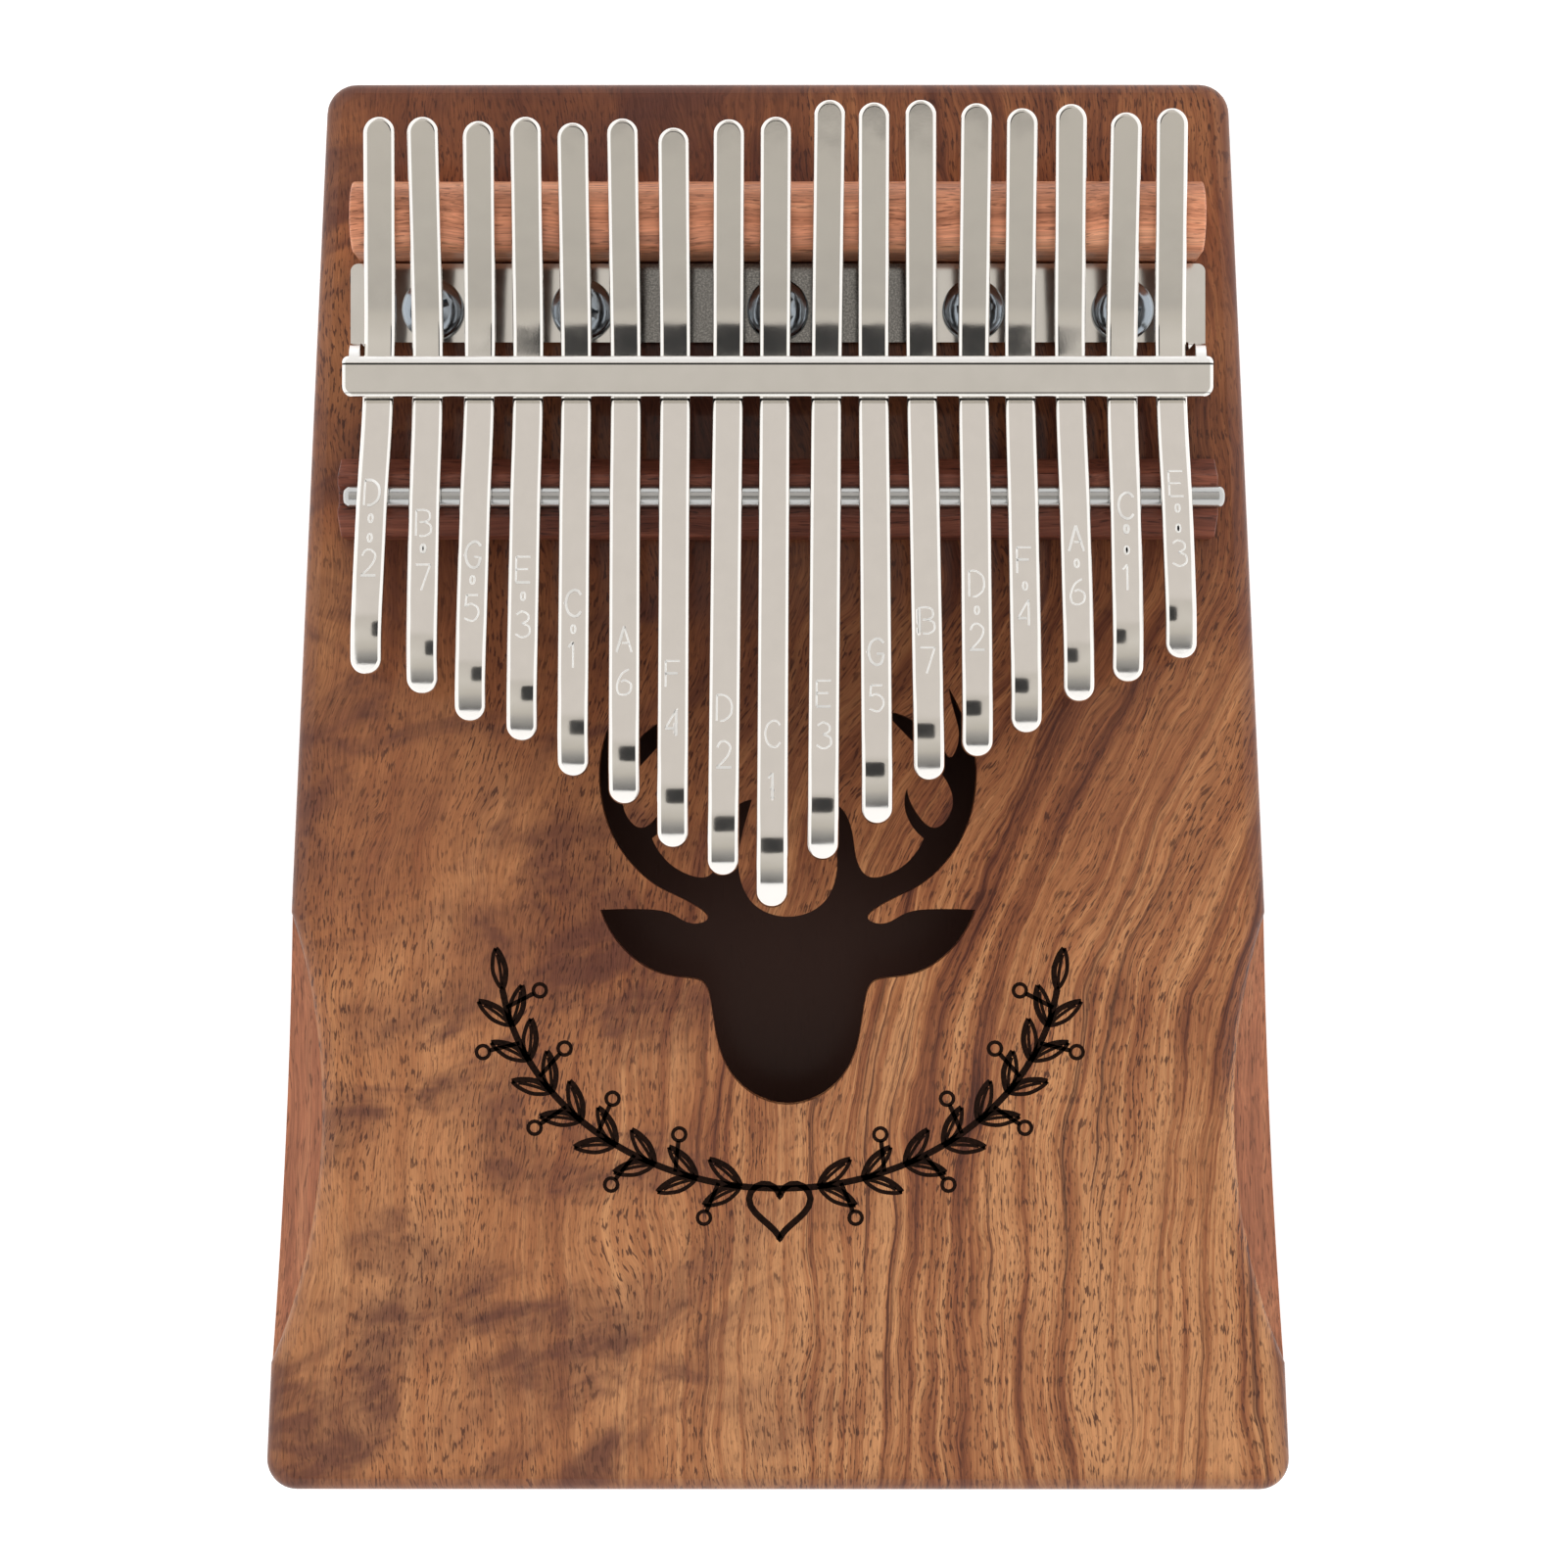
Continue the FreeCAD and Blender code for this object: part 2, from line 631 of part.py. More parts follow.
def make_tine(name):
    """A flat spring that dips under the bar, rises over the rod and ends in a
    tip that curves down.  The body's origin is on the bar's dip line."""
    dip, crest = D["dip_height"], D["crest_height"]
    rear = D[name + "_rear"] - D["dip_line"]
    tip = D[name + "_tip"] - D["dip_line"]
    rod = D["rod_line"] - D["dip_line"]
    saddle = D["saddle_middle"] - D["dip_line"]
    climb = (D["saddle_height"] + D["saddle_clearance"] - dip) / saddle
    bend = tip + D["tip_run"]
    bend_height = crest + (rod - bend) * D["rise"]
    underside = [(rear, dip + climb * rear), (as_size(0), dip), (rod, crest),
                 (bend, bend_height), (tip, bend_height - D[name + "_drop"])]
    upper = [(along, height + D["tine_thickness"]) for along, height in underside]

    body = new_body(name, x=D[name + "_across"], y=D["dip_line"], z=BOARD_TOP)
    body.Placement.Rotation = FreeCAD.Rotation(FreeCAD.Vector(0, 0, 1),
                                               -D[name + "_lean"].value)
    sketch = new_sketch(body, "YZ_Plane", name + "_profile")
    draw_polygon(sketch, underside + upper[::-1])
    strip = pad(body, sketch, D["tine_width"], both_ways=True)

    ends = pick_edges(strip, lambda edge: is_upright(edge) and (
        near(spot(edge).y, rear) or near(spot(edge).y, tip)))
    strip = dress(body, "Fillet", strip, ends, "Radius", D["end_rounding"])

    def kink_edge(along):
        return lambda edge: near(spot(edge).x, 0) and near(spot(edge).y, along)

    for along, radius in ((as_size(0), "dip_radius"), (rod, "crest_radius"),
                          (bend, "tip_radius")):
        strip = dress(body, "Fillet", strip, pick_edges(strip, kink_edge(along)),
                      "Radius", D[radius])


# --------------------------------------------------------------- whole object
make_soundboard()
make_back_board()
make_side_wall("left_side_wall", -1)
make_side_wall("right_side_wall", 1)
make_end_wall("rear_end_wall", 1)
make_end_wall("front_end_wall", -1)
make_screw_block()
make_rear_saddle()
make_tine_bracket()
make_bracket_screws()
make_front_bridge()
make_bridge_rod()
for tine in TINES:
    make_tine(tine[0])
doc.recompute()

NODES = ["soundboard", "back_board", "left_side_wall", "right_side_wall",
         "rear_end_wall", "front_end_wall", "screw_block", "rear_saddle",
         "tine_bracket", "bracket_screws", "front_bridge", "bridge_rod"]
NODES += [tine[0] for tine in TINES]

for item in doc.Objects:
    if "Invalid" in item.State or "Error" in item.State:
        raise RuntimeError("%s failed: %s" % (item.Name, item.State))

os.makedirs("parts", exist_ok=True)
for node in NODES:
    shape = doc.getObjectsByLabel(node)[0].Shape
    if shape.isNull() or not shape.isValid():
        raise RuntimeError(node + " has no valid shape")
    shape.exportStep("parts/%s.step" % node)
    print("%-18s %2d solid(s) %10.1f mm3" % (node, len(shape.Solids), shape.Volume))
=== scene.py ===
"""Looks of a seventeen-tine mbira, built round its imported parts.

The frame is the parts' own: metres, +Z out of the soundboard, +Y to the bracket
end.  Lengths in this script are millimetres until they reach a mesh.
"""

import math

import bmesh
import bpy
from mathutils import Matrix, Vector


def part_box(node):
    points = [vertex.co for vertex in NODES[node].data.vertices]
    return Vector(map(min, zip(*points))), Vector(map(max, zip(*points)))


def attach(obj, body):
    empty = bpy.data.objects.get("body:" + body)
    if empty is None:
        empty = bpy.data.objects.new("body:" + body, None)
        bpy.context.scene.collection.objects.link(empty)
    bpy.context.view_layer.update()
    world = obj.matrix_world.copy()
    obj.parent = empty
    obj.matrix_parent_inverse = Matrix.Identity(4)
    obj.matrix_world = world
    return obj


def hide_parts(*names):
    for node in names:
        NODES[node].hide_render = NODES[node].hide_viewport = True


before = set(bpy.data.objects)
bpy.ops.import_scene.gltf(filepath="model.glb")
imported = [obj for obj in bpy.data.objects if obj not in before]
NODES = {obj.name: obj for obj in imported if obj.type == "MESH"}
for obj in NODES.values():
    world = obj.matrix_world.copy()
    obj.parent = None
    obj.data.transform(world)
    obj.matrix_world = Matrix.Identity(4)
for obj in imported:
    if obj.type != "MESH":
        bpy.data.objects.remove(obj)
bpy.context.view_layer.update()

MM = 0.001
BOARD_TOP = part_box("soundboard")[1].z / MM
BOX_BODY = "sound_box"
HALF_LENGTH = 92.0
HALF_WIDTH, SIDE_LEAN = 63.0, -0.043478     # half width at the middle, and its slope

# ------------------------------------------------------------- tines, from part.py
# Node name, position along the bar, lean, rear end, front tip, how far the tip
# curves down, and the marks struck in the top: (character, place along the tine).
TINES = [
    ("tine_01_d6", -51.18, 1.7, 84.15, 14.0, 1.7,
     [("D", 37.2), ("dot", 33.9), ("dot", 31.4), ("2", 28.2)]),
    ("tine_02_b5", -44.91, 0.25, 84.15, 11.5, 1.7, [("B", 33.3), ("dot", 30.0), ("7", 26.3)]),
    ("tine_03_g5", -38.25, 0.95, 83.65, 8.0, 1.7, [("G", 29.2), ("dot", 26.0), ("5", 22.4)]),
    ("tine_04_e5", -32.02, 0.45, 84.15, 5.5, 1.7, [("E", 27.3), ("dot", 23.9), ("3", 20.3)]),
    ("tine_05_c5", -25.85, 0.0, 83.45, 1.0, 1.7, [("C", 23.0), ("dot", 19.7), ("1", 16.4)]),
    ("tine_06_a4", -19.49, -0.15, 83.95, -2.5, 1.75, [("A", 18.4), ("6", 13.0)]),
    ("tine_07_f4", -13.15, 0.05, 82.85, -8.0, 1.7, [("F", 14.0), ("4", 7.8)]),
    ("tine_08_d4", -6.37, 0.45, 83.85, -11.5, 1.6, [("D", 9.7), ("2", 3.8)]),
    ("tine_09_c4", -0.36, 0.3, 84.15, -15.5, 2.4, [("C", 6.4), ("1", -0.2)]),
    ("tine_10_e4", 6.27, 0.55, 86.15, -9.5, 1.9, [("E", 11.5), ("3", 6.2)]),
    ("tine_11_g4", 12.31, -0.25, 85.85, -5.0, 2.0, [("G", 16.8), ("5", 10.9)]),
    ("tine_12_b4", 18.49, -0.75, 86.15, 0.5, 1.7, [("B", 20.8), ("7", 15.7)]),
    ("tine_13_d5", 25.16, -0.15, 85.75, 3.5, 1.7, [("D", 25.5), ("dot", 22.1), ("2", 18.7)]),
    ("tine_14_f5", 31.12, -0.5, 85.15, 6.5, 1.7, [("F", 28.5), ("dot", 25.2), ("4", 21.8)]),
    ("tine_15_a5", 37.55, -0.95, 85.65, 10.5, 1.7, [("A", 31.3), ("dot", 28.1), ("6", 24.5)]),
    ("tine_16_c6", 44.17, -0.4, 84.65, 13.0, 1.7,
     [("C", 35.5), ("dot", 32.5), ("dot", 29.8), ("1", 26.3)]),
    ("tine_17_e6", 50.46, -1.3, 85.15, 16.0, 1.7,
     [("E", 38.4), ("dot", 35.2), ("dot", 32.6), ("3", 29.4)]),
]
TINE_WIDTH, TINE_THICKNESS = 4.0, 1.0
END_ROUNDING = 1.96     # radius of a tine's round ends, seen from above
# Heights are of a tine's underside above the soundboard; radii are of its bends.
DIP_LINE, DIP_HEIGHT, DIP_RADIUS = 52.1, 5.25, 32.0         # under the bar
ROD_LINE, CREST_HEIGHT, CREST_RADIUS = 36.9, 9.6, 20.0      # over the rod
SADDLE_LINE, SADDLE_CLEAR_HEIGHT = 72.85, 11.09             # over the saddle
RISE = 0.12             # climb per millimetre from the rod towards the tip
TIP_RUN, TIP_RADIUS = 4.8, 16.0                             # the turned-down tip
TIP_CROWN = 17.5        # radius that the tip is crowned to from side to side
CROWN_REACH = 13.0      # how far back from the tip the crown dies away
CROWN_FADE = 4.0        # the stretch over which it does so
TOP_COLUMNS = (0.75, 0.5, 0.25, 0.0, -0.25, -0.5, -0.75)
RIM = 0.55              # how far the rounded rim reaches in from a tine's side
RUN_STEP = 0.6          # length of one step along a tine
ARC_STEPS = 12          # steps in each quarter of a round end


# ------------------------------------------------------------------ node trees
class Shader:
    """Builds one node tree with short calls; vectors and values are sockets."""

    def __init__(self, tree):
        self.tree = tree
        self.tree.nodes.clear()

    def add(self, kind, settings=None, inputs=None):
        node = self.tree.nodes.new("ShaderNode" + kind)
        for key, value in (settings or {}).items():
            setattr(node, key, value)
        for key, value in (inputs or {}).items():
            self.feed(node.inputs[key], value)
        return node

    def feed(self, socket, value):
        if isinstance(value, bpy.types.NodeSocket):
            self.tree.links.new(value, socket)
        else:
            socket.default_value = value

    def math(self, operation, first, second=0.0, third=0.0, clamp=False):
        node = self.add("Math", {"operation": operation, "use_clamp": clamp})
        for socket, value in zip(node.inputs, (first, second, third)):
            self.feed(socket, value)
        return node.outputs[0]

    def scaled(self, vector, x, y, z, shift=(0, 0, 0)):
        node = self.add("Mapping", None, {"Vector": vector, "Scale": (x, y, z),
                                          "Location": shift})
        return node.outputs[0]

    def combine(self, x, y, z):
        return self.add("CombineXYZ", None, {"X": x, "Y": y, "Z": z}).outputs[0]

    def noise(self, vector, scale=1.0, detail=2.0, roughness=0.5, distortion=0.0):
        node = self.add("TexNoise", None, {
            "Vector": vector, "Scale": scale, "Detail": detail,
            "Roughness": roughness, "Distortion": distortion})
        return node.outputs["Fac"]

    def between(self, value, low, high, to_low=0.0, to_high=1.0):
        """Map a value smoothly from low..high to to_low..to_high."""
        node = self.add("MapRange", {"interpolation_type": "SMOOTHSTEP"}, {
            "Value": value, "From Min": low, "From Max": high,
            "To Min": to_low, "To Max": to_high})
        return node.outputs[0]

    def ramp(self, value, stops):
        node = self.add("ValToRGB", None, {"Fac": value})
        scale = node.color_ramp
        while len(scale.elements) < len(stops):
            scale.elements.new(0.5)
        for element, (place, colour) in zip(scale.elements, stops):
            element.position = place
            element.color = (*colour, 1.0)
        return node.outputs[0]

    def mix(self, share, first, second, blend="MIX"):
        node = self.add("Mix", {"data_type": "RGBA", "blend_type": blend})
        for index, value in ((0, share), (6, first), (7, second)):
            if isinstance(value, tuple) and len(value) == 3:
                value = (*value, 1.0)
            self.feed(node.inputs[index], value)
        return node.outputs[2]

    def curve(self, value, points):
        """A smooth curve through given (in, out) points, all within 0..1."""
        node = self.add("FloatCurve", None, {"Value": value})
        line = node.mapping.curves[0]
        while len(line.points) < len(points):
            line.points.new(0.5, 0.5)
        for point, place in zip(line.points, points):
            point.location = place
        node.mapping.update()
        return node.outputs[0]


def new_material(name):
    """An empty node material and the shader that fills it."""
    material = bpy.data.materials.new(name)
    material.use_nodes = True
    return material, Shader(material.node_tree)


def finish_surface(shader, inputs, bump=None, strength=0.2, distance=0.05):
    """Close a tree with a principled surface and an optional bump height."""
    surface = shader.add("BsdfPrincipled", None, inputs)
    if bump is not None:
        node = shader.add("Bump", None, {"Strength": strength, "Distance": distance * MM,
                                         "Height": bump})
        shader.feed(surface.inputs["Normal"], node.outputs[0])
    output = shader.add("OutputMaterial")
    shader.feed(output.inputs["Surface"], surface.outputs[0])


def place_in_mm(shader):
    """The point's place in its object's own frame, in millimetres."""
    place = shader.add("TexCoord").outputs["Object"]
    return shader.scaled(place, 1000, 1000, 1000)


# ---------------------------------------------------------------------- woods
def top_wood():
    """Figured tan hardwood: stripes that sweep on the right, clouds on the left."""
    material, s = new_material("figured_top_wood")
    place = place_in_mm(s)
    parts = s.add("SeparateXYZ", None, {"Vector": place})
    x, y, depth = parts.outputs[0], parts.outputs[1], parts.outputs[2]

    # how far the grain has swept to the right at each place along the board
    along = s.math("MULTIPLY_ADD", y, 1 / 190, 0.5)
    sweep = s.curve(along, [(0.0, 0.02), (0.21, 0.02), (0.32, 0.08), (0.42, 0.24),
                            (0.52, 0.52), (0.60, 0.78), (0.67, 0.90), (0.76, 0.88),
                            (1.0, 0.74)])
    share = s.between(x, -45, 30, 9.0, 30.0)
    swept = s.math("MULTIPLY", sweep, share)
    wander = s.noise(s.scaled(place, 0.022, 0.014, 0.02), 1, 2, 0.5)
    ripple = s.noise(s.scaled(place, 0.13, 0.060, 0.05), 1, 2, 0.5)
    drift = s.math("MULTIPLY_ADD", s.math("SUBTRACT", wander, 0.5), 16, 0)
    drift = s.math("MULTIPLY_ADD", s.math("SUBTRACT", ripple, 0.5), 3.5, drift)
    across = s.math("ADD", s.math("SUBTRACT", x, swept), drift)
    grain = s.combine(across, y, depth)

    # broad colour: tan at the front, deep brown behind the tines, a lighter right
    clouds = s.noise(s.scaled(place, 0.034, 0.024, 0.02, (3.1, 0.4, 0)), 1, 3, 0.55, 0.8)
    tone = s.between(y, -80, 15, 0.70, 0.48)
    tone = s.math("MULTIPLY_ADD", s.math("SUBTRACT", clouds, 0.5), 1.0, tone)
    under = s.math("MULTIPLY", s.between(y, 5, 40), s.between(x, 42, 66, 0.14, 0.0))
    tone = s.math("SUBTRACT", tone, under)
    right = s.between(x, 5, 45, 0.0, 0.14)
    left_rim = s.math("MULTIPLY", s.between(x, -62, -48, 0.34, 0.0), s.between(y, -30, 30))
    tone = s.math("ADD", tone, s.math("ADD", right, left_rim))

    # growth stripes: bands with finer lines inside them
    wide = s.noise(s.scaled(grain, 0.26, 0.005, 0.05, (1.7, 0, 0)), 1, 2, 0.5, 0.0)
    fine = s.noise(s.scaled(grain, 0.85, 0.010, 0.1, (5.2, 0, 0)), 1, 4, 0.70, 0.0)
    bands = s.math("MULTIPLY_ADD", fine, 0.80, s.math("MULTIPLY", wide, 0.35))
    calm = s.between(y, -50, 30, 1.0, 0.45)
    strength = s.math("MULTIPLY", s.between(across, -38, 4, 0.40, 1.6), calm)
    bands = s.math("MULTIPLY", s.math("SUBTRACT", bands, 0.575), strength)
    tone = s.math("SUBTRACT", tone, s.math("MULTIPLY", bands, 1.9))
    colour = s.ramp(tone, [(0.0, (0.050, 0.015, 0.010)), (0.22, (0.125, 0.038, 0.020)),
                           (0.45, (0.255, 0.086, 0.036)), (0.70, (0.395, 0.155, 0.062)),
                           (1.0, (0.560, 0.260, 0.112))])

    # thin near-black lines inside the darker bands
    lines = s.noise(s.scaled(grain, 1.05, 0.006, 0.1, (9.1, 0, 0)), 1, 3, 0.6, 0.0)
    lines = s.between(lines, 0.59, 0.68)
    lines = s.math("MULTIPLY", lines, s.between(across, -30, 10, 0.12, 0.80))
    lines = s.math("MULTIPLY", lines, calm)
    colour = s.mix(lines, colour, (0.070, 0.022, 0.015))

    # dark clouds smeared across the grain, mostly on the left
    lean = s.combine(s.math("MULTIPLY_ADD", y, -0.75, x), y, depth)
    smear = s.noise(s.scaled(lean, 0.040, 0.052, 0.05, (0.3, 2.3, 0)), 1, 4, 0.6, 0.9)
    smear = s.between(smear, 0.42, 0.60)
    ripples = s.noise(s.scaled(lean, 0.14, 0.20, 0.1, (4, 1, 0)), 1, 3, 0.6, 0.4)
    ripples = s.between(ripples, 0.35, 0.65, 0.45, 1.0)
    smear = s.math("MULTIPLY", smear, ripples)
    smear = s.math("MULTIPLY", smear, s.between(x, 22, -24, 0.06, 0.85))
    colour = s.mix(smear, colour, (0.115, 0.040, 0.028))

    # open pores: short dark dashes that follow the grain
    pores = s.noise(s.scaled(grain, 3.9, 0.60, 0.6), 1, 2, 0.5, 0.0)
    pores = s.between(pores, 0.54, 0.63)
    patchy = s.noise(s.scaled(grain, 0.15, 0.03, 0.1, (0, 7, 0)), 1, 2, 0.5)
    patchy = s.between(patchy, 0.35, 0.6, 0.40, 0.85)
    pores = s.math("MULTIPLY", pores, patchy)
    colour = s.mix(pores, colour, (0.060, 0.021, 0.014))
    fibres = s.noise(s.scaled(grain, 5.5, 0.16, 1.0), 1, 3, 0.6)
    fibres = s.between(fibres, 0.3, 0.7, 0.80, 1.18)
    colour = s.mix(1.0, colour, s.combine(fibres, fibres, fibres), "MULTIPLY")

    # darker within a few millimetres of the outer edges, over the rounded-over rims
    side = s.math("MULTIPLY_ADD", y, SIDE_LEAN, HALF_WIDTH)
    side = s.math("SUBTRACT", side, s.math("ABSOLUTE", x))
    end = s.math("SUBTRACT", HALF_LENGTH, s.math("ABSOLUTE", y))
    edge = s.between(s.math("MINIMUM", side, end), 0.3, 3.2, 0.55, 0.0)
    colour = s.mix(edge, colour, (0.115, 0.040, 0.026))

    height = s.math("MULTIPLY_ADD", pores, -1.0, s.math("MULTIPLY", fibres, 0.25))
    finish_surface(s, {"Base Color": colour, "Roughness": 0.55, "Specular IOR Level": 0.10,
                       "Coat Weight": 0.35, "Coat Roughness": 0.12}, height, 0.25, 0.04)
    return material


def plain_wood(name, tones, along, pore_share=0.6, inside_shade=None):
    """A straight-grained wood; along is the axis letter that its grain follows.
    The last argument is (height in mm, colour): everything higher up takes that colour,
    painted shade for the dark inside of a box."""
    material, s = new_material(name)
    place = place_in_mm(s)
    wander = s.noise(s.scaled(place, 0.03, 0.03, 0.03), 1, 2)
    offset = s.math("MULTIPLY_ADD", wander, 6.0, -3.0)
    lengthways = along == "X"
    bend = s.combine(0.0 if lengthways else offset, offset if lengthways else 0.0, offset)
    moved = s.add("VectorMath", {"operation": "ADD"}, {0: place, 1: bend}).outputs[0]

    def stretched(wide, long):
        sizes = (long, wide, wide) if lengthways else (wide, long, wide)
        return s.scaled(moved, *sizes)

    bands = s.noise(stretched(0.35, 0.015), 1, 4, 0.6, 0.2)
    bands = s.math("MULTIPLY_ADD", s.math("SUBTRACT", bands, 0.5), 1.9, 0.5)
    colour = s.ramp(bands, [(0.0, tones[0]), (0.5, tones[1]), (1.0, tones[2])])
    pores = s.noise(stretched(3.0, 0.35), 1, 2, 0.5)
    pores = s.math("MULTIPLY", s.between(pores, 0.58, 0.68), pore_share)
    colour = s.mix(pores, colour, tuple(0.35 * part for part in tones[0]))
    fibres = s.noise(stretched(4.5, 0.10), 1, 3, 0.6)
    fibres = s.between(fibres, 0.3, 0.7, 0.74, 1.22)
    colour = s.mix(1.0, colour, s.combine(fibres, fibres, fibres), "MULTIPLY")
    # painted shade: everything above the given height, the inner face deep in the box, takes
    # the darker colour
    if inside_shade is not None:
        depth = s.add("SeparateXYZ", None, {"Vector": place}).outputs[2]
        inside = s.between(depth, inside_shade[0] - 0.4, inside_shade[0])
        colour = s.mix(inside, colour, inside_shade[1])
    height = s.math("MULTIPLY_ADD", pores, -1.0, s.math("MULTIPLY", fibres, 0.3))
    finish_surface(s, {"Base Color": colour, "Roughness": 0.55, "Specular IOR Level": 0.15,
                       "Coat Weight": 0.30, "Coat Roughness": 0.20}, height, 0.3, 0.05)
    return material


# --------------------------------------------------------------------- metals
def plated_metal(name, colour, roughness, cloud=0.04, wave=0.05, wave_size=0.12, reflection_paint=None):
    """Plated metal with a faintly clouded, faintly wavy surface that is rougher
    underneath, where painted shade darkens the faces that look down.  The painted
    reflections, where given, change its tint and roughness."""
    material, s = new_material(name)
    place = place_in_mm(s)
    clouds = s.noise(s.scaled(place, 0.35, 0.35, 0.35), 1, 4, 0.6)
    speckle = s.noise(s.scaled(place, 4.0, 4.0, 4.0), 1, 2, 0.6)
    shade = s.math("MULTIPLY_ADD", clouds, 0.10, 0.93)
    tint = s.mix(1.0, colour, s.combine(shade, shade, shade), "MULTIPLY")
    facing = s.add("SeparateXYZ", None, {
        "Vector": s.add("NewGeometry").outputs["Normal"]}).outputs[2]
    # painted shade: faces that look down are darkened almost to black, and made rougher
    under = s.between(facing, -0.6, -0.2, 0.78, 0.0)
    tint = s.mix(under, tint, (0.02, 0.02, 0.02))
    rough = s.between(clouds, 0.3, 0.7, roughness, roughness + cloud)
    rough = s.math("ADD", rough, s.math("MULTIPLY", under, 0.5))
    # painted reflections and highlight, where given
    if reflection_paint is not None:
        tint, rough = reflection_paint(s, place, speckle, tint, rough)
    waves = s.noise(s.scaled(place, wave_size, wave_size, wave_size), 1, 2, 0.5)
    height = s.math("MULTIPLY_ADD", speckle, 0.02, waves)
    finish_surface(s, {"Base Color": tint, "Metallic": 1.0, "Roughness": rough},
                   height, wave, 1.0)
    return material


def band(s, value, low, high, soft):
    """1 between low and high, fading to 0 over the soft distance outside."""
    rising = s.between(value, low - soft, low)
    falling = s.between(value, high, high + soft, 1.0, 0.0)
    return s.math("MULTIPLY", rising, falling)


def bracket_painted_reflections(s, place, speckle, tint, rough):
    """Paint a dark reflection into the middle of the bracket's foot, and paint the two
    dark reflected lines and the highlight on the rear edge that run along its bar."""
    # colours of the painted dark reflections and of the painted highlight
    dark_reflection_colour, highlight_colour = (0.03, 0.03, 0.03), (1.0, 0.99, 0.97)
    foot_top, bar_base = 26.8, 33.6     # heights in the frame
    x, y, z = s.add("SeparateXYZ", None, {"Vector": place}).outputs
    # painted reflection: the middle of the foot is darkened, broken up by speckle
    middle = s.between(s.math("ABSOLUTE", x), 17.5, 21.5, 0.80, 0.0)
    low = s.between(z, foot_top, foot_top + 0.3, 1.0, 0.0)
    mottle = s.between(speckle, 0.35, 0.75, 1.0, 0.70)
    foot_reflection = s.math("MULTIPLY", s.math("MULTIPLY", middle, low), mottle)
    tint = s.mix(foot_reflection, tint, dark_reflection_colour)
    # painted reflections: dark lines along the bar's rear and front edges
    high = s.between(z, bar_base, bar_base + 0.3)
    rear_line = s.math("MULTIPLY", band(s, y, 53.62, 53.78, 0.07), high)
    front_line = s.math("MULTIPLY", band(s, y, 49.98, 50.06, 0.07), high)
    lines = s.math("MAXIMUM", rear_line, s.math("MULTIPLY", front_line, 0.6))
    tint = s.mix(lines, tint, dark_reflection_colour)
    # painted highlight: a whiter, rougher strip along the bar's rear edge
    rear_highlight = s.math("MULTIPLY", s.between(y, 53.85, 53.92), high)
    tint = s.mix(rear_highlight, tint, highlight_colour)
    rough = s.math("ADD", rough, s.math("MULTIPLY", rear_highlight, 0.30))
    return tint, rough


def burned_line():
    """The charred brown-black of a scorched drawing."""
    material, s = new_material("burned_line")
    place = place_in_mm(s)
    ash = s.noise(s.scaled(place, 2.5, 2.5, 2.5), 1, 3, 0.6)
    colour = s.ramp(ash, [(0.3, (0.006, 0.003, 0.002)), (0.7, (0.018, 0.008, 0.005))])
    finish_surface(s, {"Base Color": colour, "Roughness": 0.9,
                       "Specular IOR Level": 0.05}, ash, 0.3, 0.05)
    return material


# ------------------------------------------------------------------ mesh tools
def new_piece(name, mesh, materials, body):
    """Link a finished mesh as a piece that rides on a body."""
    piece = bpy.data.objects.new(name, mesh)
    bpy.context.scene.collection.objects.link(piece)
    for material in materials:
        mesh.materials.append(material)
    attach(piece, body)
    return piece


def mesh_from(name, points, faces):
    """A mesh from millimetre points, with outward faces."""
    mesh = bpy.data.meshes.new(name)
    mesh.from_pydata([tuple(value * MM for value in point) for point in points], [], faces)
    work = bmesh.new()
    work.from_mesh(mesh)
    bmesh.ops.recalc_face_normals(work, faces=work.faces)
    work.to_mesh(mesh)
    work.free()
    mesh.validate()
    return mesh


def shade_by_angle(mesh, degrees):
    """Smooth shading that stays sharp at edges over the angle."""
    mesh.shade_smooth()
    mesh.set_sharp_from_angle(angle=math.radians(degrees))


def evaluated_mesh(piece):
    """The piece's mesh with its modifiers applied."""
    graph = bpy.context.evaluated_depsgraph_get()
    return bpy.data.meshes.new_from_object(piece.evaluated_get(graph))


def rounded_copy(node, material, rounding):
    """Stand a copy of a CAD node on the sound box, with its hard edges rounded, in
    its place.  A rounding of 0 leaves the edges as they are."""
    work = bmesh.new()
    work.from_mesh(NODES[node].data)
    bmesh.ops.remove_doubles(work, verts=work.verts, dist=0.0005 * MM)
    flat = [edge for edge in work.edges if edge.is_manifold
            and edge.calc_face_angle() < math.radians(0.1)]
    bmesh.ops.dissolve_edges(work, edges=flat, use_verts=False)
    straight = [vert for vert in work.verts if len(vert.link_edges) == 2]
    bmesh.ops.dissolve_verts(work, verts=straight)
    mesh = bpy.data.meshes.new(node + "_detail")
    work.to_mesh(mesh)
    work.free()
    piece = new_piece(node + "_detail", mesh, [material], BOX_BODY)
    if rounding:
        bevel = piece.modifiers.new("rounding", "BEVEL")
        bevel.width = rounding * MM
        bevel.segments = 3
        bevel.limit_method = "ANGLE"
        bevel.angle_limit = math.radians(35)
    weighted = piece.modifiers.new("normals", "WEIGHTED_NORMAL")
    weighted.keep_sharp = True
    shade_by_angle(mesh, 40)
    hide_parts(node)


